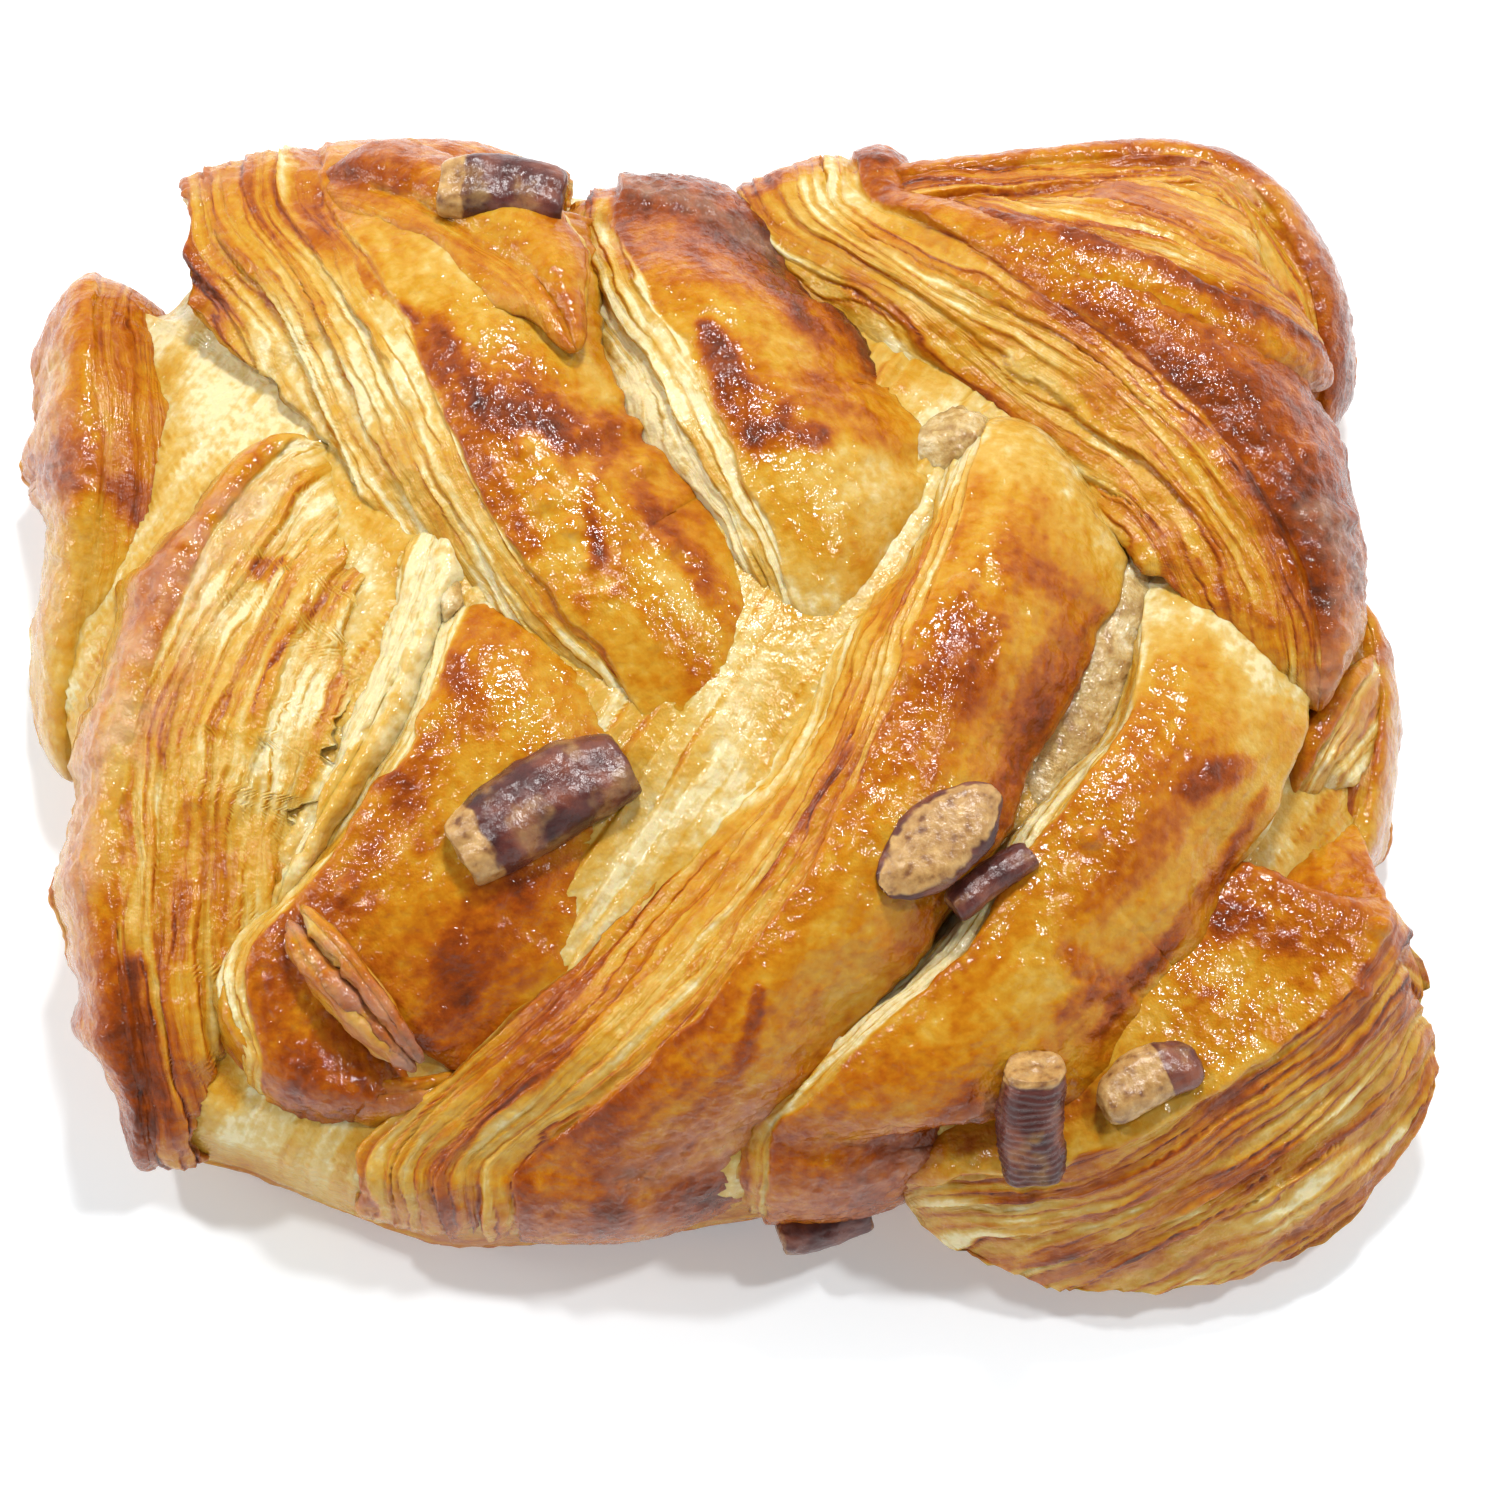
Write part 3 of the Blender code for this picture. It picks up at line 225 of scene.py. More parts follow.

# Browning laid on: a stroke runs through points of the camera's view (x, y, half width in pixels) on
# the named pieces, and takes a value to its own there, as far as its strength. Side is skin, cut or both.
Stroke = namedtuple("Stroke", "pieces side value strength points")
BROWNING_AND_PAINTED_LIGHT = (
    Stroke("end_flap", "both", 0.8, 1, ((70, 462, 32), (110, 478, 26), (160, 520, 16))),
    Stroke("end_flap", "both", 0.62, .8, ((60, 320, 30), (110, 330, 30), (130, 380, 22))),
    Stroke("end_flap", "both", 0.3, .8, ((70, 580, 24), (90, 650, 30), (80, 720, 20))),
    Stroke("front_1", "both", 0.42, .8, ((210, 500, 12), (160, 590, 20), (110, 690, 24), (85, 800, 18),
           (75, 900, 12))),
    Stroke("front_1", "cut", 0.72, .9, ((262, 566, 12), (282, 560, 9))),
    Stroke("front_1", "cut", 0.6, .8, ((318, 612, 14), (345, 590, 10))),
    Stroke("front_1", "both", 0.66, .9, ((200, 820, 10), (190, 880, 18), (172, 960, 18))),
    Stroke("front_1", "both", 0.81, 1, ((128, 970, 16), (140, 1050, 24), (150, 1125, 18))),
    Stroke("front_1", "cut", 0.5, .9, ((345, 660, 7), (318, 740, 8), (290, 820, 8), (265, 900, 7))),
    Stroke("front_1", "cut", 0.44, .8, ((230, 700, 12), (205, 790, 14), (185, 870, 12))),
    Stroke("front_1", "cut", 0.03, .8, ((300, 620, 10), (270, 720, 10), (240, 800, 9))),
    Stroke("front_2", "skin", 0.62, 1, ((450, 668, 20), (480, 720, 24))),
    Stroke("front_2", "skin", 0.4, .9, ((500, 690, 14), (540, 720, 14))),
    Stroke("front_2", "skin", 0.72, 1, ((395, 790, 20), (425, 835, 24))),
    Stroke("front_2", "skin", 0.6, .9, ((345, 900, 24), (410, 890, 26))),
    Stroke("front_2", "skin", 0.8, 1, ((455, 945, 26), (450, 1010, 26), (420, 1045, 18))),
    Stroke("front_2", "skin", 0.7, .9, ((520, 880, 16), (500, 940, 20))),
    Stroke("back_1", "skin", 0.79, 1, ((400, 312, 12), (440, 360, 30), (500, 400, 36), (570, 428, 28),
           (624, 440, 18))),
    Stroke("back_1", "skin", 0.64, .9, ((455, 425, 18), (490, 485, 22), (525, 545, 16))),
    Stroke("back_1", "skin", 0.28, 1, ((530, 445, 14), (556, 495, 22), (585, 550, 20))),
    Stroke("back_1", "skin", 0.66, 1, ((610, 455, 10), (588, 492, 8), (598, 560, 9), (585, 602, 14),
           (620, 590, 9))),
    Stroke("back_1", "skin", 0.58, 1, ((640, 505, 18), (690, 535, 24), (700, 585, 16))),
    Stroke("back_1", "skin", 0.36, .8, ((640, 560, 12), (680, 560, 8))),
    Stroke("back_1", "skin", 0.55, .9, ((690, 640, 16), (705, 690, 22), (725, 740, 18))),
    Stroke("back_1", "skin", 0.34, .8, ((750, 620, 24), (765, 690, 22))),
    Stroke("back_1", "skin", 0.2, .9, ((420, 262, 16), (500, 300, 20), (562, 345, 20), (602, 395, 12))),
    Stroke("back_1", "cut", 0.03, .9, ((345, 455, 12), (385, 520, 14), (440, 600, 10))),
    Stroke("back_1", "cut", 0.45, .7, ((230, 240, 30), (215, 300, 24))),
    Stroke("back_1", "cut", 0.14, .8, ((340, 470, 14), (390, 540, 16), (350, 520, 14))),
    Stroke("torn_flap", "both", 0.55, .8, ((420, 240, 20), (480, 262, 20), (530, 292, 12))),
    Stroke("torn_flap", "both", 0.7, .8, ((345, 160, 14), (420, 175, 14), (570, 200, 14))),
    Stroke("back_2", "both", 0.66, 1, ((560, 175, 24), (680, 206, 38), (766, 256, 44), (818, 310, 40),
           (866, 368, 24))),
    Stroke("back_2", "both", 0.88, 1, ((600, 178, 18), (690, 200, 34), (776, 248, 36), (834, 306, 30),
           (876, 365, 18))),
    Stroke("back_2", "skin", 0.38, .9, ((690, 300, 14), (750, 320, 16), (800, 350, 12))),
    Stroke("back_2", "skin", 0.8, 1, ((704, 330, 12), (732, 378, 26), (766, 420, 34), (815, 434, 22))),
    Stroke("back_2", "skin", 0.58, .9, ((790, 378, 12), (835, 400, 20), (868, 440, 14))),
    Stroke("back_2", "skin", 0.2, .9, ((800, 520, 34), (840, 570, 34), (870, 500, 20))),
    Stroke("back_3", "both", 0.78, 1, ((1150, 372, 18), (1230, 420, 40), (1300, 470, 46), (1335, 530, 30))),
    Stroke("back_3", "both", 0.84, .9, ((1330, 545, 12), (1350, 585, 12), (1318, 600, 10))),
    Stroke("back_3", "both", 0.73, .9, ((1080, 298, 8), (1160, 355, 12), (1232, 430, 12), (1292, 540, 9))),
    Stroke("back_3", "cut", 0.62, .9, ((850, 285, 10), (920, 325, 12), (995, 350, 9))),
    Stroke("back_3", "cut", 0.68, .9, ((1110, 590, 4), (1200, 655, 8), (1292, 705, 9))),
    Stroke("back_3", "cut", 0.66, .8, ((1150, 515, 4), (1220, 590, 7), (1296, 640, 8))),
    Stroke("back_3", "cut", 0.6, .8, ((930, 215, 5), (1010, 262, 9), (1080, 312, 8))),
    Stroke("back_3", "cut", 0.12, .8, ((890, 345, 9), (960, 395, 10), (1040, 470, 10), (1130, 580, 7))),
    Stroke("back_4", "both", 0.79, 1, ((890, 178, 9), (960, 200, 12), (1050, 225, 13), (1150, 265, 16),
           (1250, 305, 16), (1330, 345, 12))),
    Stroke("back_4", "skin", 0.6, .9, ((1060, 285, 10), (1150, 320, 14), (1250, 345, 12))),
    Stroke("back_4 back_rim", "both", 0.5, .8, ((1010, 170, 16), (1120, 200, 24), (1220, 250, 20))),
    Stroke("back_rim", "both", 0.71, .9, ((1300, 230, 9), (1335, 300, 9), (1340, 370, 9))),
    Stroke("back_3 back_4", "both", 0.7, .9, ((735, 195, 9), (800, 172, 9), (870, 160, 9), (940, 158, 9),
           (1000, 164, 8))),
    Stroke("front_3", "both", 0.1, 1, ((985, 440, 30), (1050, 455, 34), (1110, 530, 20))),
    Stroke("front_3", "skin", 0.64, 1, ((1010, 560, 16), (1050, 585, 16))),
    Stroke("front_3", "skin", 0.52, .8, ((965, 640, 40), (905, 740, 46), (860, 830, 30))),
    Stroke("front_3", "skin", 0.71, .9, ((1095, 610, 8), (1060, 700, 14), (1000, 790, 14))),
    Stroke("front_3", "skin", 0.4, .8, ((1080, 540, 12), (960, 560, 14), (920, 670, 14))),
    Stroke("front_3", "both", 0.2, .8, ((940, 500, 8), (880, 590, 9), (800, 720, 9), (740, 800, 6))),
    Stroke("front_3", "cut", 0.55, .8, ((790, 790, 6), (740, 860, 9), (660, 960, 9), (560, 1060, 8))),
    Stroke("front_3", "skin", 0.48, .8, ((880, 880, 20), (840, 970, 22), (770, 1080, 20))),
    Stroke("front_3", "both", 0.77, 1, ((760, 990, 6), (745, 1050, 13), (710, 1110, 14), (640, 1170, 14))),
    Stroke("front_3", "both", 0.74, .9, ((600, 1205, 12), (700, 1200, 16), (790, 1150, 14))),
    Stroke("front_4", "both", 0.1, 1, ((1180, 610, 40), (1230, 590, 34), (1280, 680, 24))),
    Stroke("front_4", "skin", 0.71, 1, ((1195, 790, 20), (1235, 770, 16))),
    Stroke("front_4", "skin", 0.7, .9, ((1065, 955, 16), (1105, 985, 16), (1060, 1010, 14))),
    Stroke("front_4", "both", 0.77, 1, ((1262, 790, 6), (1215, 875, 10), (1150, 960, 12), (1090, 1035, 9))),
    Stroke("front_4", "cut", 0.0, 1, ((1010, 860, 12), (960, 930, 12), (920, 990, 10))),
    Stroke("front_4", "skin", 0.34, .8, ((985, 950, 14), (930, 1030, 14), (1010, 900, 10))),
    Stroke("front_4", "both", 0.73, .9, ((960, 1110, 24), (890, 1155, 24), (820, 1180, 16))),
    Stroke("front_end", "skin", 0.71, 1, ((1225, 915, 18), (1280, 945, 20))),
    Stroke("front_end", "skin", 0.64, .9, ((1185, 985, 12), (1215, 1000, 10))),
    Stroke("front_end", "both", 0.68, .9, ((1285, 1035, 18), (1335, 1010, 16))),
    Stroke("front_end", "both", 0.8, 1, ((1352, 950, 10), (1368, 990, 16), (1345, 1040, 12),
           (1310, 1070, 8))),
    Stroke("front_end", "both", 0.74, .9, ((1392, 925, 6), (1405, 1000, 7), (1398, 1060, 7))),
    Stroke("front_end", "skin", 0.3, .8, ((1240, 990, 10), (1190, 1030, 14), (1110, 1130, 14))),
    Stroke("front_end", "cut", 0.7, .8, ((960, 1195, 4), (1100, 1207, 5), (1230, 1170, 6),
           (1340, 1085, 6))),
    Stroke("front_end", "cut", 0.71, .8, ((1050, 1255, 8), (1200, 1272, 9), (1300, 1232, 9),
           (1380, 1150, 8))),
    Stroke("front_end", "cut", 0.3, .8, ((1000, 1222, 6), (1130, 1235, 7), (1260, 1195, 7),
           (1360, 1110, 6))),
    Stroke("front_lip", "both", 0.66, .9, ((262, 960, 10), (290, 1050, 12), (360, 1100, 10),
           (440, 1102, 10))),
    Stroke("right_rim", "both", 0.74, .9, ((1290, 800, 5), (1330, 730, 8), (1385, 650, 8))),
    Stroke("base_dough", "both", 0.0, 1, ((180, 320, 34), (235, 390, 44), (290, 450, 30))),
    Stroke("base_dough", "both", 0.02, .9, ((600, 900, 30), (640, 850, 34), (680, 800, 20))),
    Stroke("base_dough", "both", 0.02, .9, ((950, 420, 16), (1150, 600, 16), (1180, 640, 16))),
    Stroke("base_dough", "both", 0.02, .9, ((750, 590, 16), (800, 560, 12), (850, 500, 12))),
    Stroke("base_dough", "both", 0.28, .8, ((330, 470, 16), (400, 560, 16), (460, 620, 12))),
    # These two strokes pale the front-left foot of the base, which faces away from the lamps: painted light
    # over golden dough.
    Stroke("base_dough", "both", 0.12, .8, ((200, 1130, 26), (300, 1170, 34), (400, 1190, 26))),
    Stroke("base_dough", "both", 0.4, .8, ((230, 1165, 10), (330, 1195, 14), (430, 1215, 12))),
    Stroke("base_dough", "both", 0.4, .8, ((1300, 820, 30), (1350, 760, 40), (1380, 680, 30))),
    Stroke("base_dough", "both", 0.42, .7, ((240, 960, 16), (210, 1040, 20), (240, 1100, 14))),
    Stroke("base_dough", "both", 0.5, .8, ((500, 1000, 14), (530, 1030, 14), (470, 1075, 10))),
)

# Crust that has dried and flaked, from 0 to 1, laid on in the same way. Along the lowest front edges the same
# pale, dull colour is painted sheen.
DRIED_AND_SHEEN = (
    Stroke("front_1", "both", 1, .9, ((285, 475, 14), (205, 530, 26), (140, 640, 30), (95, 760, 30),
           (75, 880, 26))),
    Stroke("front_1", "both", 1, .5, ((250, 520, 20), (190, 640, 22), (150, 760, 20))),
    Stroke("end_flap", "both", 1, .5, ((50, 330, 20), (60, 480, 24), (50, 640, 20))),
    Stroke("curl curl_under", "both", 1, .9, ((298, 929, 20), (360, 1000, 26), (417, 1068, 16))),
    Stroke("front_lip", "both", 1, .6, ((258, 1000, 14), (325, 1095, 14), (440, 1100, 12))),
    Stroke("back_1", "both", 1, .7, ((200, 175, 24), (250, 150, 24), (330, 140, 20))),
    Stroke("torn_flap", "both", 1, .5, ((330, 140, 16), (400, 150, 16), (520, 165, 12))),
    Stroke("back_2", "skin", 1, .8, ((610, 180, 8), (700, 210, 12), (776, 262, 8))),
    Stroke("back_3", "both", 1, .9, ((1315, 515, 18), (1350, 570, 22), (1345, 640, 20), (1320, 690, 14))),
    Stroke("right_rim front_5", "both", 1, .7, ((1385, 650, 12), (1350, 730, 12), (1300, 800, 8))),
    Stroke("front_3", "both", 1, .8, ((620, 1180, 16), (700, 1150, 22), (760, 1110, 16))),
    Stroke("front_4", "both", 1, .8, ((850, 1180, 12), (930, 1150, 14), (990, 1100, 8))),
    Stroke("front_end", "both", 1, .5, ((1060, 1270, 12), (1240, 1270, 12), (1380, 1160, 12),
           (1400, 1000, 10))),
    Stroke("back_rim", "both", 1, .5, ((1180, 165, 8), (1280, 200, 10), (1340, 300, 10))),
    Stroke("base_dough", "both", 1, .5, ((400, 1215, 20), (460, 1240, 14), (560, 1240, 10))),
)

# Blisters in the glaze: a point of the camera's view (x, y), the radius in pixels and the height.
Blister = namedtuple("Blister", "piece x y radius height")
BLISTERS = (
    Blister("back_1", 522, 452, 14, .5), Blister("back_1", 552, 470, 12, .4),
    Blister("back_1", 545, 502, 17, .6), Blister("back_1", 572, 530, 15, .5),
    Blister("back_1", 588, 562, 12, .5), Blister("back_1", 640, 470, 13, .5),
    Blister("back_1", 668, 548, 13, .5), Blister("back_1", 700, 560, 12, .4),
    Blister("back_1", 655, 640, 12, .4), Blister("front_3", 960, 590, 18, .4),
    Blister("front_3", 915, 670, 20, .5), Blister("front_4", 1090, 840, 14, .6),
    Blister("back_3", 1305, 455, 14, .5), Blister("back_3", 1340, 520, 16, .7),
    Blister("front_2", 350, 890, 16, .5), Blister("back_3", 1290, 500, 12, .5),
    Blister("back_3", 1250, 430, 12, .4), Blister("front_end", 1360, 990, 12, .6),
    Blister("front_end", 1378, 928, 14, .9),
)

# ---------------------------------------------------------------- filling
Lump = namedtuple("Lump", "centre half heading")
LUMPS = (
    Lump((19.9, 20.2, 19.4), (6.0, 4.6, 8.4), 20), Lump((30.0, -2.4, 19.0), (21.0, 5.4, 8.8), 66),
    Lump((-22.6, 5.0, 20.4), (4.2, 1.8, 8.8), 72), Lump((-5.6, -13.0, 18.8), (8.0, 4.4, 9.4), 35),
)
LUMP_RINGS, LUMP_SPOKES = 90, 120
LUMP_WAVE, LUMP_HIGH, GRAIN_WAVE, GRAIN_HIGH, LUMP_TONE_WAVE = 3.4, 1.6, 1.0, 0.5, 1.8

# ---------------------------------------------------------------- pecans
# Flesh shows on the -X end and the +X end, further in as the share grows, and on the top. Ends is the
# thickness of both ends against the middle.
Nut = namedtuple("Nut", ("name centre size heading pitch bow groove ends "
                         "left_flesh right_flesh top_flesh ribs"))
NUTS = (
    Nut("pecan_log", (-14.6, -13.6, 29.8), (16.0, 7.8, 6.6), 30, 2, 0.8, 0.22, 0.68, 2, 0, 0, 0),
    Nut("pecan_slice", (17.9, -17.9, 35.4), (12.5, 7.2, 3.6), 42, 4, 0.0, 0.0, 0.2, 0, 0, 1, 0),
    Nut("pecan_sliver", (22.4, -20.4, 32.4), (8.0, 3.2, 3.0), 35, 0, 0.3, 0.0, 0.7, 0, .2, 0, 0),
    Nut("pecan_stub", (25.8, -38.5, 24.5), (11.0, 5.6, 5.2), 91, 52, 0.4, 0.12, 0.85, 0, 1, 0, 1),
    Nut("pecan_crumb", (35.4, -35.3, 24.0), (8.6, 5.0, 4.2), 28, 0, 0.6, 0.12, 0.45, 8.5, 0, 0, 0),
    Nut("pecan_back", (-18.7, 42.2, 28.3), (10.6, 5.8, 5.2), -6, 0, 0.5, 0.2, 0.75, 2.6, 0, 0, .12),
    Nut("pecan_front", (8.8, -43.2, 7.0), (8.0, 4.6, 4.2), 18, 0, 0.4, 0.0, 0.6, .4, .3, 0, 0),
)
NUT_RINGS, NUT_CAP_RINGS, NUT_SPOKES = 90, 16, 96
NUT_BUMP, NUT_BUMP_HIGH, NUT_GRAIN, NUT_GRAIN_HIGH = 3.4, 0.45, 0.7, 0.05
LONG_RIB_HIGH, RING_RIB_HIGH, RING_RIBS = 0.1, 0.07, 4.5
CHIP, CHIP_DEEP, RUBBED, RUBBED_FLESH = 1.7, 0.5, 2.2, 0.4


# ---------------------------------------------------------------- noise and curves

def lattice(cells, seed):
    """A fixed random number from -1 to 1 for each whole-numbered cell."""
    mixed = np.full(cells.shape[:-1], (seed * 2654435769 + 12345) & 0xFFFFFFFF, np.uint64)
    for axis in range(cells.shape[-1]):
        mixed ^= (cells[..., axis] & 0xFFFFFFFF).astype(np.uint64)
        mixed = mixed * np.uint64(0x45D9F3B) & np.uint64(0xFFFFFFFF)
        mixed ^= mixed >> np.uint64(15)
    mixed = mixed * np.uint64(0x27D4EB2D) & np.uint64(0xFFFFFFFF)
    mixed ^= mixed >> np.uint64(13)
    return mixed.astype(float) / 0x7FFFFFFF - 1


def noise(points, seed):
    """Smooth noise from -1 to 1 at points in a plane or in space."""
    base = np.floor(points).astype(np.int64)
    part = points - base
    part = part * part * part * (part * (part * 6 - 15) + 10)
    total = np.zeros(points.shape[:-1])
    for corner in np.ndindex(*(2,) * points.shape[-1]):
        corner = np.array(corner)
        total += lattice(base + corner, seed) * np.prod(np.where(corner, part, 1 - part), axis=-1)
    return total


def fractal(points, octaves, seed):
    """Noise with finer and fainter noise added to it."""
    total = sum(noise(points * 2.03**k, seed + 17 * k) * 0.5**k for k in range(octaves))
    return total / (2 - 0.5 ** (octaves - 1))


def plane(*coordinates):
    return np.stack(np.broadcast_arrays(*coordinates), axis=-1)


def ramp(value, low, high):
    """0 below low, 1 above high, and a smooth rise between them."""
    part = np.clip((value - low) / (high - low), 0, 1)
    return part * part * (3 - 2 * part)


def catmull(points, count, closed=False):
    """Evenly numbered points on a Catmull-Rom curve through the given ones."""
    pts = np.asarray(points, float)
    n = len(pts)
    if closed:
        ends = pts[[-1]], pts[[0, 1]]
    else:
        ends = 2 * pts[[0]] - pts[[1]], np.vstack([2 * pts[[-1]] - pts[[-2]]] * 2)
    ring = np.vstack([ends[0], pts, ends[1]])
    t = np.linspace(0, n if closed else n - 1, count, endpoint=not closed)
    k = np.minimum(t.astype(int), n - (1 if closed else 2))
    f = (t - k)[:, None]
    a, b, c, d = ring[k], ring[k + 1], ring[k + 2], ring[k + 3]
    return 0.5 * (2 * b + (c - a) * f + (2 * a - 5 * b + 4 * c - d) * f**2 + (3 * b - a - 3 * c + d) * f**3)


def unit(vectors):
    return vectors / np.maximum(np.linalg.norm(vectors, axis=-1, keepdims=True), 1e-9)


def turned(points, heading, pitch=0):
    """Points with their +X end raised by pitch, then turned about Z by heading, both in degrees."""
    x, y, z = points[..., 0], points[..., 1], points[..., 2]
    c, s = math.cos(math.radians(pitch)), math.sin(math.radians(pitch))
    x, z = x * c - z * s, x * s + z * c
    c, s = math.cos(math.radians(heading)), math.sin(math.radians(heading))
    return np.stack([x * c - y * s, x * s + y * c, z], axis=-1)


def dome(x, y):
    """Height of the dome that the strips lie on."""
    along = 1 - np.minimum(np.abs(x) / DOME_HALF[0], 1) ** 2.5
    across = 1 - np.minimum(np.abs(y) / DOME_HALF[1], 1) ** 2.2
    return DOME_RIM + DOME_RISE * along * across


def in_view(points):
    """Where points of the drawing frame land in the camera's view, in pixels."""
    lift = math.radians(LIFT)
    ahead = np.array([0, math.cos(lift), -math.sin(lift)])
    above = np.array([0, math.sin(lift), math.cos(lift)])
    from_eye = points - PLAN_CENTRE - (AIM - DISTANCE * ahead)
    scale = DISTANCE / PIXEL_MM / (from_eye @ ahead)
    return np.stack([AIM_PIXEL[0] + from_eye[..., 0] * scale,
                     AIM_PIXEL[1] - (from_eye @ above) * scale], axis=-1)


# ---------------------------------------------------------------- meshes

def closed_piece(name, rings, finish, stands_for, masks, along=None):
    """A closed piece from rings of positions that wrap round, with a mask for each named attribute."""
    rows, columns = rings.shape[:2]
    bm = bmesh.new()
    bmesh.ops.create_grid(bm, x_segments=rows - 1, y_segments=columns, size=1)
    flat = bpy.data.meshes.new(name)
    bm.to_mesh(flat)
    bm.free()
    spot = np.empty(len(flat.vertices) * 3, np.float32)
    flat.vertices.foreach_get("co", spot)
    spot = spot.reshape(-1, 3)
    row = np.rint((spot[:, 0] + 1) / 2 * (rows - 1)).astype(int)
    column = np.rint((spot[:, 1] + 1) / 2 * columns).astype(int)
    placed = (rings[row, column % columns] - PLAN_CENTRE) * MM
    flat.vertices.foreach_set("co", placed.astype(np.float32).ravel())
    for mask, values in masks.items():
        layer = flat.attributes.new(mask, "FLOAT", "POINT")
        layer.data.foreach_set("value", values[row, column % columns].astype(np.float32))
    if along is not None:
        corner = np.empty(len(flat.loops), np.int32)
        flat.loops.foreach_get("vertex_index", corner)
        wrapped = np.concatenate([along, along[:, :1]], axis=1)
        layer = flat.uv_layers.new(name="along")
        layer.data.foreach_set("uv", wrapped[row, column][corner].astype(np.float32).ravel())
    bm = bmesh.new()
    bm.from_mesh(flat)
    bmesh.ops.remove_doubles(bm, verts=bm.verts, dist=MERGE_WITHIN)
    bmesh.ops.holes_fill(bm, edges=[e for e in bm.edges if e.is_boundary])
    bmesh.ops.recalc_face_normals(bm, faces=bm.faces)
    bm.to_mesh(flat)
    bm.free()
    flat.shade_smooth()
    flat.materials.append(finish)
    piece = bpy.data.objects.new(name, flat)
    bpy.context.scene.collection.objects.link(piece)
    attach(piece, "root")
    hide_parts(stands_for)
    return piece


def outward(rings):
    """The outward direction at each point of wrapped rings."""
    across = np.roll(rings, -1, axis=1) - np.roll(rings, 1, axis=1)
    facing = unit(np.cross(np.gradient(rings, axis=0), across))
    inside = rings.mean(axis=1, keepdims=True)
    return facing if ((rings - inside) * facing).sum() > 0 else -facing


# ---------------------------------------------------------------- dough strips

def eased(rows, length):
    """The rows with their bends softened over a length, and both ends kept."""
    reach = round(length / ALONG_STEP)
    weights = np.hanning(2 * reach + 3)[1:-1]
    before = 2 * rows[:1] - rows[reach:0:-1]
    after = 2 * rows[-1:] - rows[-2:-reach - 2:-1]
    longer = np.vstack([before, rows, after])
    return np.stack([np.convolve(column, weights / weights.sum(), "valid") for column in longer.T], axis=1)


def strip_path(strip):
    """A strip's rows from the foot of its fold to its tip, its headings in plan, and the length along it."""
    coarse = np.asarray(strip.rows, float)
    length = np.linalg.norm(np.diff(coarse[:, :3], axis=0), axis=1).sum()
    rows = catmull(coarse, round(length / ALONG_STEP))
    heading = unit(np.gradient(rows[:, :2], axis=0))
    if strip.fold:
        facing = math.radians(strip.facing)
        inward = -np.array([math.cos(facing), math.sin(facing)])
        square = np.clip(1 - np.linspace(0, 1, len(rows)) / SQUARE_UP_TO, 0, 1)[:, None]
        heading = unit(heading * (1 - square) + inward * square)
        half = (rows[0, 2] - FOLD_FOOT_Z) / 2
        turns = np.linspace(math.pi, 0, round(math.pi * half / ALONG_STEP))[:-1, None]
        out = np.array([-heading[0, 0], -heading[0, 1], 0])
        rolled = np.repeat(rows[:1], len(turns), axis=0)
        rolled[:, :3] += strip.fold * out * np.sin(turns) - half * np.array([0, 0, 1]) * (1 - np.cos(turns))
        rows = np.vstack([rolled, rows])
        heading = np.vstack([np.repeat(heading[:1], len(turns), axis=0), heading])
    rows[:, :3] = eased(rows[:, :3], EASE_LENGTH)
    heading = unit(eased(heading, EASE_LENGTH))
    steps = np.linalg.norm(np.diff(rows[:, :3], axis=0), axis=1)
    return rows, heading, np.concatenate([[0], np.cumsum(steps)])


def strip_sections(rows, thick, layered):
    """Offsets across a strip and out of it, and where its skin and its hidden walls are."""
    cut_width, cut_drop, face_width, face_drop = (rows[:, k, None] for k in (3, 4, 5, 6))
    under = -np.maximum(thick, np.maximum(cut_drop, face_drop) + 1.5)
    f = np.linspace(0, 1, round(face_width.max() / FACE_STEP) + 4)
    face = face_width * f, CROWN * np.sin(math.pi * f) - face_drop * f**2
    g = np.linspace(0, 1, EDGE_COLUMNS + 1)[1:]
    edge = face_width * (1 - 0.04 * g) + 0.5 * np.sin(math.pi * g), -face_drop + (under + face_drop) * g
    h = np.linspace(0, 1, UNDER_COLUMNS + 1)[1:]
    floor = 0.96 * face_width * (1 - h) - 0.85 * cut_width * h, under + 0 * h
    s = np.linspace(0, 1, SIDE_COLUMNS + 1)[1:-1]
    side = -cut_width * (0.85 + 0.15 * s), under + (-cut_drop - under) * s
    c = np.linspace(0, 1, round(cut_width.max() / (CUT_STEP if layered else FACE_STEP)) + 6)[:-1]
    cut = -cut_width * (1 - c), -cut_drop * (1 - c) + CUT_BULGE * np.sin(math.pi * c)
    offsets = [np.concatenate([np.broadcast_to(zone[k], (len(rows), zone[k].shape[1]))
                               for zone in (face, edge, floor, side, cut)], axis=1) for k in (0, 1)]
    counts = [zone[0].shape[1] for zone in (face, edge, floor, side, cut)]
    skin = np.repeat([1.0, 1.0, 0.0, 0.0, 0.0], counts)
    wall = np.repeat([0.0, 1.0, 1.0, 1.0, 0.0], counts)
    shape = np.stack(offsets, axis=-1)
    for _ in range(2):
        shape = (np.roll(shape, 1, axis=1) + 2 * shape + np.roll(shape, -1, axis=1)) / 4
        skin = (np.roll(skin, 1) + 2 * skin + np.roll(skin, -1)) / 4
    return shape, skin, wall


def nearest_on_stroke(spots, points):
    """How far each spot of the view lies from a stroke's line, as a share of its half width there."""
    best = np.full(spots.shape[:-1], 1e9)
    for (x0, y0, w0), (x1, y1, w1) in zip(points, points[1:]):
        start, run = np.array([x0, y0]), np.array([x1 - x0, y1 - y0])
        part = np.clip((spots - start) @ run / (run @ run), 0, 1)
        away = np.linalg.norm(spots - start - part[..., None] * run, axis=-1)
        best = np.minimum(best, away / (w0 + (w1 - w0) * part))
    return best


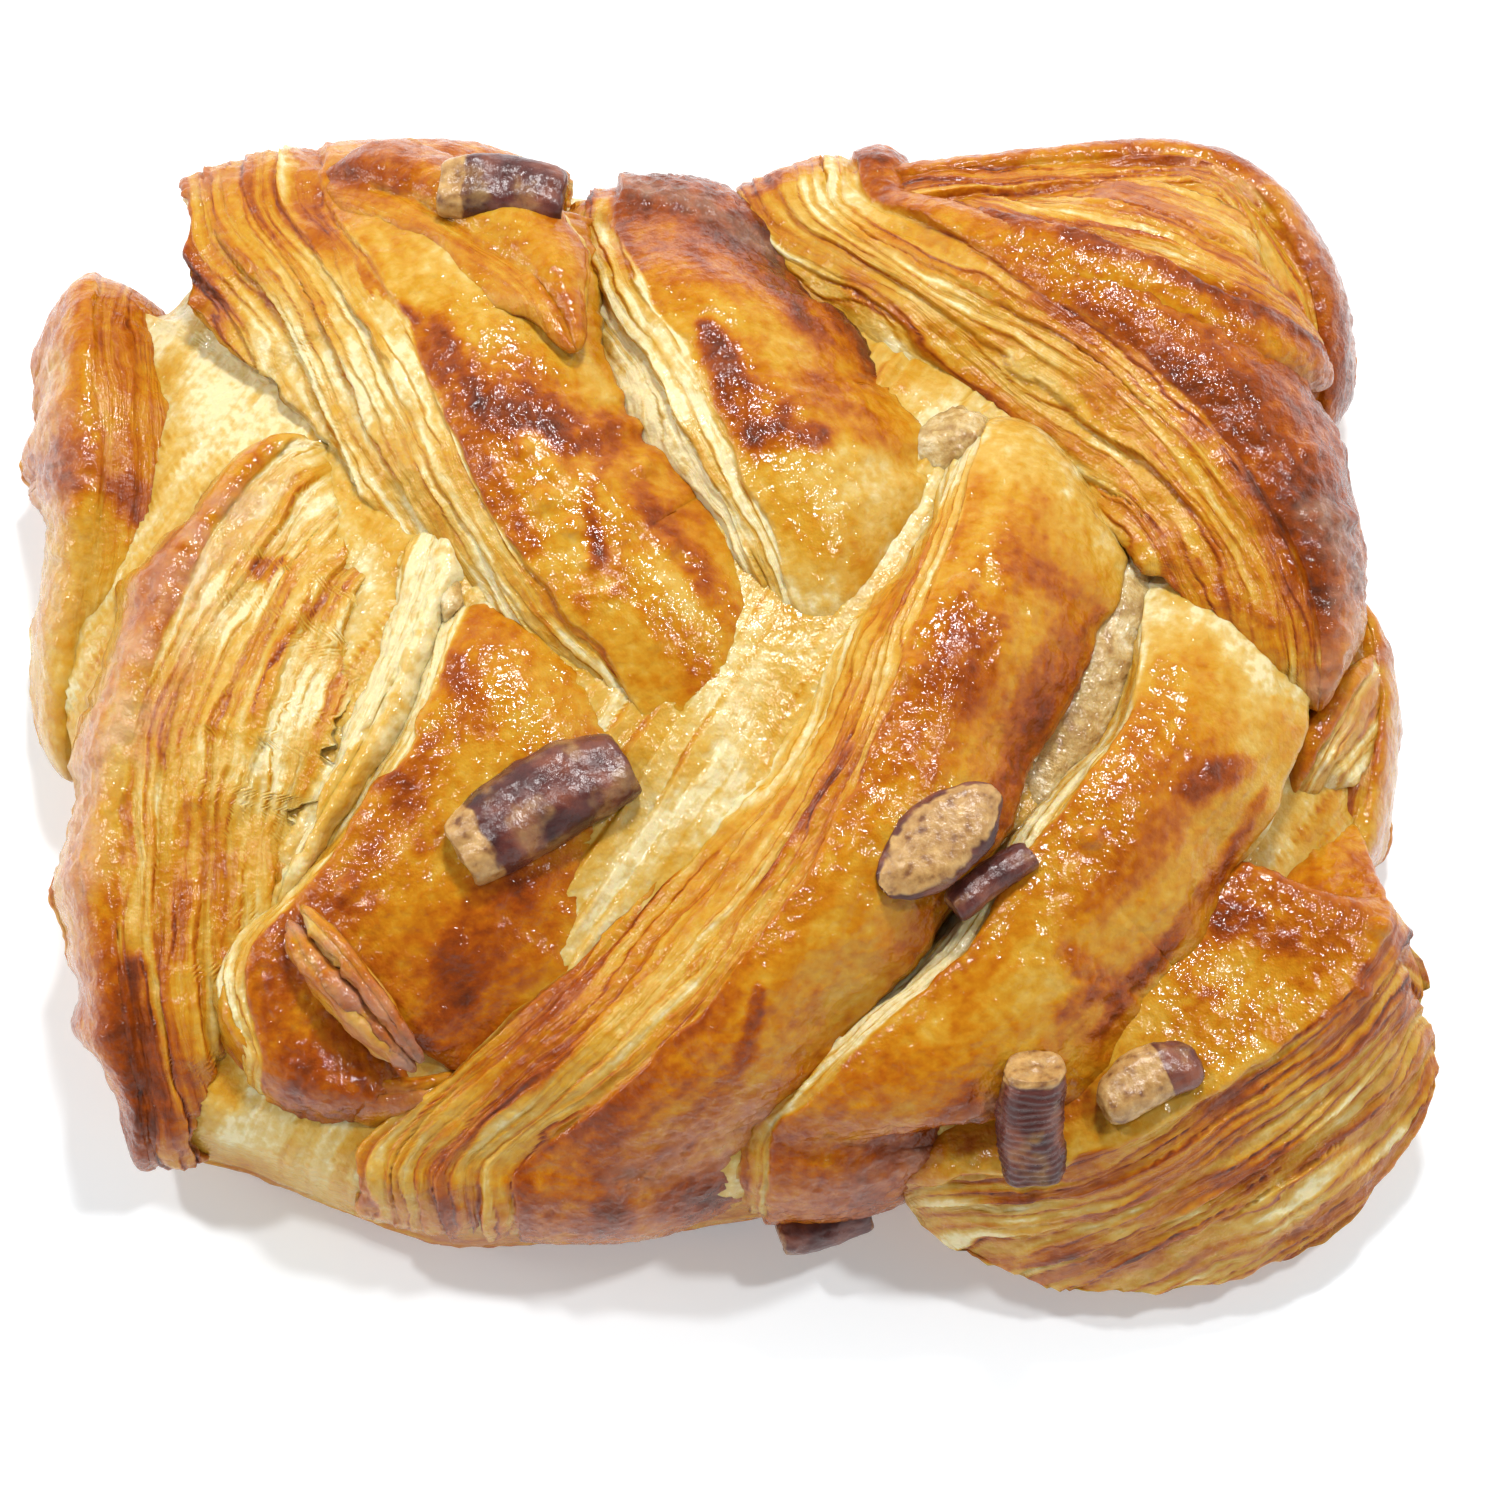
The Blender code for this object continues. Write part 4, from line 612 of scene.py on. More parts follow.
def laid_on(value, strokes, name, skin, spots, rings, seed):
    """A value after the strokes meant for this piece, each with a ragged edge."""
    ragged = 0.65 * fractal(rings / STROKE_EDGE_WAVE, 5, seed + 5)
    broken = fractal(rings / STROKE_BREAK_WAVE, 3, seed + 20)
    for stroke in strokes:
        if name not in stroke.pieces.split():
            continue
        reach = nearest_on_stroke(spots, stroke.points) + ragged
        cover = stroke.strength * (1 - ramp(reach, 0.3, 1.45)) * np.clip(0.8 + 0.7 * broken, 0, 1)
        cover *= {"skin": skin, "cut": 1 - skin, "both": 1.0}[stroke.side]
        value = value + (stroke.value - value) * cover
    return value


def dough_strip(strip, seed, finish):
    """One strip: glazed skin on one side of its crest, open baked layers on the other."""
    rows, heading, along = strip_path(strip)
    tangent = unit(np.gradient(rows[:, :3], axis=0))
    right = np.column_stack([heading[:, 1], -heading[:, 0], np.zeros(len(rows))])
    normal = unit(np.cross(right, tangent))
    skin_side = right if strip.cut == "left" else -right
    shape, skin, wall = strip_sections(rows, strip.thick, strip.layered)
    end = np.minimum(np.minimum(along, along[-1] - along) / TIP_LENGTH, 1)
    middle = shape.mean(axis=1, keepdims=True)
    swell = np.sqrt(np.maximum(1 - (1 - end) ** 2, 0))[:, None, None]
    shape = middle + (shape - middle) * swell
    width_wave = fractal(plane(along / WIDTH_WAVE, 0 * along), 4, seed + 18)
    shape[..., 0] *= 1 + strip.ragged * 2 * width_wave[:, None]
    rings = rows[:, None, :3] + shape[..., :1] * skin_side[:, None] + shape[..., 1:] * normal[:, None]

    u = np.broadcast_to(along[:, None], shape.shape[:2])
    v = shape[..., 0]
    depth = -shape[..., 1]
    wall = np.broadcast_to(wall, u.shape)
    # The skin ends in a ragged edge near the crest.
    torn = v + (0.5 + 5 * strip.ragged) * fractal(plane(u / TORN_WAVE, v / TORN_WAVE), 4, seed + 14)
    skin = np.where(wall > 0.5, np.broadcast_to(skin, u.shape), ramp(torn, -0.45, 0.05))
    # Broad leaves with thin layers on them, across the cut side and down the walls.
    steepness = np.clip(np.hypot(1, rows[:, 4] / np.maximum(rows[:, 3], 1)), 1, STEEPEST_CUT)[:, None]
    down = np.where(wall > 0.5, depth, -v * steepness)
    sway = fractal(plane(u / LEAF_SWAY[0], down / LEAF_SWAY[1]), 3, seed)
    across = down + LEAF_SWAY_HIGH * sway
    across = across + LAYER_SWAY_HIGH * fractal(plane(u / LAYER_SWAY, down), 4, seed + 1)
    leaf, leaf_part, leaf_lift = layers(across / LEAF_WIDTH, u / LEAF_RUN, seed + 2)
    slip = 0.4 * noise(plane(u / LAYER_RUN, leaf * 3.3), seed + 3)
    layer, part, lift = layers(across / LAYER_WIDTH + slip, u / LAYER_RUN, seed + 13)
    steps = stepped(leaf_part, 0.9) * LEAF_LIP * leaf_lift + stepped(part, 0.82) * LAYER_LIP * lift
    steps += DRIFT_HIGH * noise(plane(u / DRIFT_RUN, leaf * 5.1), seed + 4)
    rough = CRUMB_HIGH * fractal(rings / CRUMB, 4, seed + 6)
    rough += FINE_CRUMB_HIGH * fractal(rings / FINE_CRUMB, 2, seed + 15)
    open_side = (1 - skin) if strip.layered else 0.35 * (1 - skin)
    spots = in_view(rings)
    bake = rows[:, 8, None] + (rows[:, 7, None] - rows[:, 8, None]) * skin
    bake = laid_on(bake, BROWNING_AND_PAINTED_LIGHT, strip.name, skin, spots, rings, seed)
    # Dried, flaked crust, and along the lowest front edges painted sheen.
    dry = laid_on(0, DRIED_AND_SHEEN, strip.name, skin, spots, rings, seed + 22)
    crust = ramp(bake, 0.35, 0.8)
    skin_form = SWELL_HIGH * fractal(rings / SWELL, 3, seed + 7)
    skin_form = skin_form + DIMPLE_HIGH * fractal(rings / DIMPLE, 4, seed + 8) + SKIN_LIP
    beads = 1 - 2 * np.abs(fractal(rings / BEAD, 3, seed + 16))
    skin_form += (BEAD_HIGH + CRUST_BEAD_HIGH * crust) * beads
    height = (rough + steps) * open_side + skin_form * skin * (1 - wall)
    height = height + BELOW_SKIN * (rough + steps) * skin * wall
    height = height + dry * (FLAKE_HIGH - FLAKE_DEEP * np.abs(fractal(rings / FLAKE, 4, seed + 23)))
    for blister in BLISTERS:
        if blister.piece == strip.name:
            away = np.linalg.norm(spots - [blister.x, blister.y], axis=-1) / blister.radius
            height = height + blister.height * ramp(1 - away + 0.25 * fractal(rings / 0.9, 2, seed), 0, 0.8)
    height *= swell[..., 0]
    rings = rings + outward(rings) * height[..., None]
    rings[..., 2] = np.maximum(rings[..., 2], LOWEST_DOUGH)

    # Leaves and layers are browned at their edges and cream between them, and some of this is painted light
    # and shade:
    # a leaf's raised edge is paled where it is not browned, a painted highlight, and the groove at each
    # leaf's step is darkened, painted shade.
    patches = fractal(plane(u / 10, across / 4), 4, seed + 9)
    tone = PATCH_TONE * patches + LEAF_TONE * noise(plane(u / 12, leaf * 4.3), seed + 10)
    tone += LAYER_TONE * noise(plane(u / 8, layer * 2.9), seed + 17)
    edge_highlight_and_browning = ramp(noise(plane(u / 14, leaf * 6.1), seed + 19), -0.2, 0.7) * 0.5 - 0.16
    tone += edge_highlight_and_browning * ramp(leaf_part, 0.6, 0.85) * (1 - ramp(leaf_part, 0.9, 1.0)) * leaf_lift
    tone += LEAF_GROOVE_SHADE_TONE * (ramp(leaf_part, 0.9, 1.0) + 1 - ramp(leaf_part, 0, 0.12)) * leaf_lift
    # Each layer's brink is darkened and its tread paled, more on steep cut sides: painted shade and painted
    # light for the relief of the layers, in part their browned edges.
    layer_light_and_shade = BRINK_SHADE_TONE * ramp(part, 0.76, 0.94) - TREAD_LIGHT_TONE * ramp(part, 0.1, 0.5)
    tone += layer_light_and_shade * lift * steepness - TONE_LEVEL
    cream = ramp(noise(plane(u / 12, layer * 5.3), seed + 24), -0.1, 0.4)
    tone -= CREAM_TONE * (steepness - 0.5) * cream * (ramp(part, 0.1, 0.3) - ramp(part, 0.5, 0.75))
    bake = bake + tone * np.maximum(open_side, wall)
    mottled = SKIN_PATCH_TONE * fractal(rings / 5.0, 5, seed + 11)
    bake = bake + (mottled + SKIN_SPECK_TONE * fractal(rings / 0.8, 2, seed + 12)) * skin
    bake = bake + SKIN_STREAK_TONE * fractal(plane(u / 15, v / 2.6), 4, seed + 21) * skin
    bake = bake + FOOT_TONE * (1 - ramp(rings[..., 2], 2, 9)) * wall
    masks = {"bake": np.clip(bake, 0, 1), "skin": skin * (1 - 0.8 * wall), "crust": crust * skin,
             "dry": dry + 0 * bake}
    return closed_piece(strip.name, rings, finish, "pastry", masks, plane(u / 10, across / 10))


def layers(place, along, seed):
    """Which layer each place is in, how far across it, and how much it lifts there."""
    layer = np.floor(place)
    return layer, place - layer, ramp(noise(plane(along, layer * 3.7), seed), -0.55, 0.6)


def stepped(part, brink):
    """The rise across a layer and the fall at its edge."""
    return part**1.5 - 0.4 - 0.9 * ramp(part, brink, 1.0)


def outline_ring(inset, count):
    """The base outline, pulled towards its own inside by inset."""
    ring = catmull(BASE_OUTLINE, count, closed=True)
    tangent = unit(np.roll(ring, -1, axis=0) - np.roll(ring, 1, axis=0))
    return ring + inset * np.stack([-tangent[:, 1], tangent[:, 0]], axis=1)


def base_dough(finish):
    """The dough under the strips: a flat foot, a bulging layered side and a domed top."""
    count, foot, top, under = BASE_SPOKES, BASE_FOOT_RINGS, BASE_TOP_RINGS, BASE_UNDER_RINGS
    rings = [np.column_stack([outline_ring(FOOT_INSET, count) * k / under, np.zeros(count)])
             for k in range(under)]
    for k in range(foot + 1):
        turn = k / foot * math.pi / 2
        rings.append(np.column_stack([outline_ring(FOOT_INSET * (1 - math.sin(turn)), count),
                                      np.full(count, SIDE_BULGE_Z * (1 - math.cos(turn)))]))
    for k in range(1, top + 1):
        share = k / top
        plan = outline_ring(0, count) * (1 - share)
        level = dome(plan[:, 0], plan[:, 1]) - DOUGH_BELOW_DOME
        level += (SIDE_BULGE_Z - level) * (1 - ramp(share, -0.1, 0.06))
        rings.append(np.column_stack([plan, level]))
    rings = np.array(rings)
    z = rings[..., 2]
    around = np.linspace(0, BASE_ROUND, count)[None]
    side = 1 - ramp(z, 8, 12)
    run = turned(rings, -BASE_GRAIN)
    down = np.where(side > 0.5, z / BASE_LAYER_SIDE, run[..., 1] / BASE_LAYER_TOP)
    along = np.where(side > 0.5, around, run[..., 0])
    down = down + 0.6 * fractal(plane(along / 15, down / 2), 4, 301)
    layer, part, lift = layers(down, along / 8, 306)
    height = BASE_SWELL_HIGH * fractal(rings / BASE_SWELL, 4, 302)
    height = height + BASE_CRUMB_HIGH * fractal(rings / BASE_CRUMB, 3, 303)
    # The layers fade near the middle, where the rings crowd.
    height += stepped(part, 0.7) * BASE_LAYER_LIP * lift * ramp(np.hypot(rings[..., 0], rings[..., 1]), 4, 14)
    height *= ramp(z, 0.0, 1.2)
    spots = in_view(rings)
    rings = rings + outward(rings) * height[..., None]
    rings[..., 2] = np.maximum(rings[..., 2], 0)
    bake = BASE_BAKE + BASE_PATCH_TONE * fractal(rings / BASE_SWELL, 4, 304)
    bake = bake + side * (BASE_SIDE_TONE + BASE_FOOT_TONE * (1 - ramp(z, 0, 5)))
    bake = laid_on(bake, BROWNING_AND_PAINTED_LIGHT, "base_dough", 1.0, spots, rings, 307)
    dry = laid_on(0 * bake, DRIED_AND_SHEEN, "base_dough", 1.0, spots, rings, 308)
    bake += (BASE_LAYER_TONE + BASE_SIDE_LAYER_TONE * side) * noise(plane(along / 9, layer * 3.1), 305)
    bake += BASE_BRINK_TONE * ramp(part, 0.65, 0.95) * lift
    masks = {"bake": np.clip(bake, 0, 1), "skin": 0.5 + 0 * side, "crust": 0 * side, "dry": dry}
    return closed_piece("base_dough", rings, finish, "pastry", masks, plane(along / 10, down / 7))


# ---------------------------------------------------------------- filling

def filling_lump(k, lump, finish):
    """One lump of soft filling that shows between the strips."""
    turn = np.linspace(0, 2 * math.pi, LUMP_SPOKES, endpoint=False)
    lift = np.linspace(0, math.pi, LUMP_RINGS)[:, None]
    ball = plane(np.cos(turn) * np.sin(lift), np.sin(turn) * np.sin(lift), -np.cos(lift))
    rings = turned(ball * np.array(lump.half), lump.heading) + np.array(lump.centre)
    height = LUMP_HIGH * fractal(rings / LUMP_WAVE, 4, 401 + k)
    height += GRAIN_HIGH * fractal(rings / GRAIN_WAVE, 3, 411 + k)
    rings = rings + outward(rings) * (height * np.sin(lift))[..., None]
    bake = 0.5 + 0.5 * fractal(rings / LUMP_TONE_WAVE, 3, 421 + k)
    return closed_piece(f"filling_{k + 1}", rings, finish, "filling", {"bake": bake})


# ---------------------------------------------------------------- pecans

def nut_piece(nut, seed, finish):
    """A broken piece of pecan: ribbed dark skin round tan flesh."""
    cap = np.linspace(0, 1, NUT_CAP_RINGS, endpoint=False)
    s = np.concatenate([-np.ones(NUT_CAP_RINGS), np.linspace(-1, 1, NUT_RINGS), np.ones(NUT_CAP_RINGS)])
    s = s[:, None]
    reach = np.concatenate([cap, np.ones(NUT_RINGS), 1 - cap - 1 / NUT_CAP_RINGS])[:, None]
    turn = np.linspace(0, 2 * math.pi, NUT_SPOKES, endpoint=False)
    groove = 1 - nut.groove * np.exp(-((turn - math.pi / 2) / 0.5) ** 2)
    swell = (nut.ends + (1 - nut.ends) * (1 - s * s) ** (0.5 + 0.3 * nut.top_flesh)) * reach
    length, width, thick = nut.size
    local = plane(s * length / 2, np.cos(turn) * width / 2 * swell * groove + nut.bow * (1 - s**2),
                  np.sin(turn) * thick / 2 * swell * groove)
    on_end = np.clip((np.abs(s) - 0.93) / 0.07, 0, 1)
    bumps = NUT_BUMP_HIGH * fractal(local / NUT_BUMP, 3, seed)
    bumps += NUT_GRAIN_HIGH * fractal(local / NUT_GRAIN, 3, seed + 1)
    long_ribs = LONG_RIB_HIGH * fractal(plane(turn * 2.5, s * 0.8), 3, seed + 2)
    ring_ribs = RING_RIB_HIGH * np.sin(s * length * RING_RIBS + 2 * noise(plane(turn, s * 3), seed + 3))
    height = bumps + (long_ribs * (1 - nut.ribs) + ring_ribs * nut.ribs) * (reach > 0.99)
    edge = 0.25 * fractal(plane(turn * 2, s * 9), 2, seed + 4)
    flesh = sum(ramp(side * s + 0.3 * edge, 1 - 0.16 * share, 1.04 - 0.16 * share) * min(share, 1)
                for side, share in ((-1, nut.left_flesh), (1, nut.right_flesh)))
    flesh += nut.top_flesh * ramp(np.sin(turn) + edge, 0.5, 0.68)
    flesh += RUBBED_FLESH * ramp(fractal(local / RUBBED, 4, seed + 6), 0.1, 0.5)
    height = height - CHIP_DEEP * on_end * (1 - reach) * ramp(noise(local / CHIP, seed + 5), -0.3, 0.6)
    local = local + outward(local) * height[..., None] * np.clip(reach * 4, 0, 1)[..., None]
    if nut.top_flesh:
        # The broken face is flattened.
        up = local[..., 2]
        local[..., 2] = np.where(up > 0, np.minimum(up, thick * 0.3 + 0.25 * up), up)
    rings = turned(local, nut.heading, nut.pitch) + np.array(nut.centre)
    return closed_piece(nut.name + "_nut", rings, finish, nut.name,
                        {"flesh": np.clip(flesh, 0, 1)}, plane(s * length / 20, turn / 3 + 0 * s))


# ---------------------------------------------------------------- finishes

# How fine the noises of the finishes are, in repeats per metre.
COARSE_BEADS, FINE_BEADS, WET_PATCHES = 1100, 2300, 260
CRUST_GRAIN, FLAKE_AND_SHEEN_PATCHES, FILLING_GRAIN = 1100, 420, 1400
NUT_SKIN, NUT_FLESH, NUT_GLOSS, NUT_WRINKLES = 330, 900, 500, 1700
# How deep their bumps are.
GLAZE_BUMP, FILLING_BUMP, NUT_WRINKLE_BUMP = 0.22, 0.36, 0.12
STREAKS_ALONG, STREAKS_ACROSS = 1.8, 24  # streaks in each centimetre of the open layers

# The colour of dry flaked crust, also painted sheen along the lowest front edges.
FLAKED_AND_SHEEN = (0.5, 0.29, 0.19)
BAKED = ((0.0, (0.7, 0.6, 0.33)), (0.07, (0.61, 0.45, 0.165)), (0.16, (0.57, 0.355, 0.07)),
         (0.3, (0.52, 0.265, 0.02)), (0.44, (0.47, 0.175, 0.005)), (0.57, (0.38, 0.098, 0.003)),
         (0.7, (0.265, 0.05, 0.003)), (0.84, (0.16, 0.03, 0.005)), (1.0, (0.07, 0.017, 0.007)))
SYRUP = ((0.1, (0.3, 0.15, 0.04)), (0.5, (0.52, 0.36, 0.14)), (0.9, (0.74, 0.64, 0.42)))
PECAN_SKIN = ((0.3, (0.035, 0.01, 0.01)), (0.5, (0.1, 0.026, 0.02)), (0.7, (0.24, 0.08, 0.045)))
PECAN_FLESH = ((0.3, (0.16, 0.06, 0.02)), (0.44, (0.36, 0.19, 0.06)), (0.7, (0.56, 0.35, 0.13)))


def node(tree, kind, **settings):
    made = tree.nodes.new(kind)
    for name, value in settings.items():
        setattr(made, name, value)
    return made


def colour_ramp(tree, source, stops):
    """A ColorRamp through the stops, driven by a socket."""
    made = node(tree, "ShaderNodeValToRGB")
    ramp_stops = made.color_ramp.elements
    while len(ramp_stops) < len(stops):
        ramp_stops.new(0.5)
    for stop, (place, colour) in zip(ramp_stops, stops):
        stop.position = place
        stop.color = (*colour, 1)
    tree.links.new(source, made.inputs["Fac"])
    return made.outputs["Color"]


def maths(tree, operation, a, b, clamp=False):
    """One Math node. Either side is a socket or a number."""
    made = node(tree, "ShaderNodeMath", operation=operation, use_clamp=clamp)
    for socket, value in zip(made.inputs, (a, b)):
        if isinstance(value, (int, float)):
            socket.default_value = value
        else:
            tree.links.new(value, socket)
    return made.outputs[0]


def noise_at(tree, scale, detail, vector=None):
    """A Noise texture on Object coordinates, or on the given vector."""
    made = node(tree, "ShaderNodeTexNoise")
    made.inputs["Scale"].default_value = scale
    made.inputs["Detail"].default_value = detail
    if vector is None:
        vector = node(tree, "ShaderNodeTexCoord").outputs["Object"]
    tree.links.new(vector, made.inputs["Vector"])
    return made.outputs["Fac"]


def glaze_group():
    """Glaze: a pitted, beaded surface whose wet patches come and go. Gives a height and a roughness."""
    tree = bpy.data.node_groups.new("sugar_glaze", "ShaderNodeTree")
    face = tree.interface
    for name, value in (("Beads", 1.0), ("Wetness", 0.5)):
        socket = face.new_socket(name, in_out="INPUT", socket_type="NodeSocketFloat")
        socket.default_value = value
    for name in ("Height", "Roughness"):
        face.new_socket(name, in_out="OUTPUT", socket_type="NodeSocketFloat")
    inside, outside = node(tree, "NodeGroupInput"), node(tree, "NodeGroupOutput")
    coarse = noise_at(tree, COARSE_BEADS, 2)
    beads = noise_at(tree, FINE_BEADS, 2)
    height = maths(tree, "ADD", maths(tree, "MULTIPLY", coarse, 0.75),
                   maths(tree, "MULTIPLY", beads, inside.outputs["Beads"]))
    patches = maths(tree, "SUBTRACT", noise_at(tree, WET_PATCHES, 3), 0.35)
    dry = maths(tree, "SUBTRACT", maths(tree, "MULTIPLY", patches, 0.8),
                maths(tree, "MULTIPLY", inside.outputs["Wetness"], 0.3))
    tree.links.new(height, outside.inputs["Height"])
    roughness = maths(tree, "MAXIMUM", maths(tree, "ADD", dry, 0.26), 0.09)
    tree.links.new(roughness, outside.inputs["Roughness"])
    return tree


def new_finish(name):
    made = bpy.data.materials.new(name)
    made.use_nodes = True
    return made, made.node_tree, made.node_tree.nodes["Principled BSDF"]


def soften(shader, weight, radius_mm, reds):
    """Light that soaks in below the surface."""
    shader.inputs["Subsurface Weight"].default_value = weight
    shader.inputs["Subsurface Scale"].default_value = radius_mm * MM
    shader.inputs["Subsurface Radius"].default_value = reds


def attach_bump(tree, shader, height, distance_mm):
    bump = node(tree, "ShaderNodeBump")
    bump.inputs["Strength"].default_value = 1.0
    bump.inputs["Distance"].default_value = distance_mm * MM
    tree.links.new(height, bump.inputs["Height"])
    tree.links.new(bump.outputs["Normal"], shader.inputs["Normal"])


def dough_finish(glaze):
    """Baked laminated dough: its colour comes from its baking, with fine streaks along the open layers and
    pale, dull flakes where the crust is dry, which along the lowest front edges are painted sheen."""
    made, tree, shader = new_finish("baked_dough")
    bake = node(tree, "ShaderNodeAttribute", attribute_name="bake").outputs["Fac"]
    skin = node(tree, "ShaderNodeAttribute", attribute_name="skin").outputs["Fac"]
    along = node(tree, "ShaderNodeUVMap", uv_map="along").outputs["UV"]
    stretch = node(tree, "ShaderNodeMapping")
    stretch.inputs["Scale"].default_value = (STREAKS_ALONG, STREAKS_ACROSS, 1)
    tree.links.new(along, stretch.inputs["Vector"])
    streaks = noise_at(tree, 1.0, 3, stretch.outputs["Vector"])
    open_side = maths(tree, "SUBTRACT", 1.0, skin)
    fine = maths(tree, "MULTIPLY", maths(tree, "SUBTRACT", noise_at(tree, CRUST_GRAIN, 5), 0.5), 0.38)
    lines = maths(tree, "MULTIPLY", maths(tree, "SUBTRACT", streaks, 0.5),
                  maths(tree, "MULTIPLY", open_side, 0.32))
    tone = maths(tree, "ADD", maths(tree, "ADD", bake, fine), lines)
    # Dry crust and painted sheen both pale the colour and dull the glaze.
    dry = node(tree, "ShaderNodeAttribute", attribute_name="dry").outputs["Fac"]
    patchy = maths(tree, "MULTIPLY", maths(tree, "SUBTRACT", noise_at(tree, FLAKE_AND_SHEEN_PATCHES, 4), 0.3), 3.0,
                   clamp=True)
    flakes = maths(tree, "MULTIPLY", dry, patchy)
    faded = node(tree, "ShaderNodeMix", data_type="RGBA")
    tree.links.new(maths(tree, "MULTIPLY", flakes, 0.62), faded.inputs["Factor"])
    tree.links.new(colour_ramp(tree, tone, BAKED), faded.inputs["A"])
    faded.inputs["B"].default_value = (*FLAKED_AND_SHEEN, 1)
    tree.links.new(faded.outputs["Result"], shader.inputs["Base Color"])
    wet = node(tree, "ShaderNodeGroup")
    wet.node_tree = glaze
    crust = node(tree, "ShaderNodeAttribute", attribute_name="crust").outputs["Fac"]
    tree.links.new(maths(tree, "ADD", maths(tree, "MULTIPLY", crust, 0.3), 0.28), wet.inputs["Beads"])
    damp = maths(tree, "ADD", maths(tree, "MULTIPLY", skin, 0.5), 0.45)
    tree.links.new(maths(tree, "SUBTRACT", damp, maths(tree, "MULTIPLY", flakes, 0.8)), wet.inputs["Wetness"])
    tree.links.new(wet.outputs["Roughness"], shader.inputs["Roughness"])
    grooves = maths(tree, "MULTIPLY", maths(tree, "MULTIPLY", streaks, open_side), 0.9)
    attach_bump(tree, shader, maths(tree, "ADD", wet.outputs["Height"], grooves), GLAZE_BUMP)
    shader.inputs["IOR"].default_value = 1.42
    shader.inputs["Specular IOR Level"].default_value = 0.44
    soften(shader, 0.3, 1.4, (1.0, 0.45, 0.12))
    return made


def filling_finish(glaze):
    """Soft nut and syrup filling: tan, wet and slightly clear."""
    made, tree, shader = new_finish("syrup_filling")
    bake = node(tree, "ShaderNodeAttribute", attribute_name="bake").outputs["Fac"]
    grain = maths(tree, "MULTIPLY", maths(tree, "SUBTRACT", noise_at(tree, FILLING_GRAIN, 3), 0.5), 0.9)
    tree.links.new(colour_ramp(tree, maths(tree, "ADD", bake, grain), SYRUP), shader.inputs["Base Color"])
    wet = node(tree, "ShaderNodeGroup")
    wet.node_tree = glaze
    wet.inputs["Beads"].default_value = 0.5
    wet.inputs["Wetness"].default_value = 1.0
    tree.links.new(wet.outputs["Roughness"], shader.inputs["Roughness"])
    attach_bump(tree, shader, wet.outputs["Height"], FILLING_BUMP)
    soften(shader, 0.5, 2.0, (1.0, 0.7, 0.35))
    return made


def pecan_finish():
    """Toasted pecan: purple-brown wrinkled skin and tan flesh."""
    made, tree, shader = new_finish("toasted_pecan")
    flesh = node(tree, "ShaderNodeAttribute", attribute_name="flesh").outputs["Fac"]
    dark = colour_ramp(tree, noise_at(tree, NUT_SKIN, 4), PECAN_SKIN)
    tan = colour_ramp(tree, noise_at(tree, NUT_FLESH, 5), PECAN_FLESH)
    both = node(tree, "ShaderNodeMix", data_type="RGBA")
    tree.links.new(flesh, both.inputs["Factor"])
    tree.links.new(dark, both.inputs["A"])
    tree.links.new(tan, both.inputs["B"])
    tree.links.new(both.outputs["Result"], shader.inputs["Base Color"])
    gloss = maths(tree, "ADD", maths(tree, "MULTIPLY", noise_at(tree, NUT_GLOSS, 3), 0.3), 0.14)
    tree.links.new(gloss, shader.inputs["Roughness"])
    attach_bump(tree, shader, noise_at(tree, NUT_WRINKLES, 4), NUT_WRINKLE_BUMP)
    soften(shader, 0.15, 1.0, (1.0, 0.5, 0.3))
    return made


# ---------------------------------------------------------------- stage

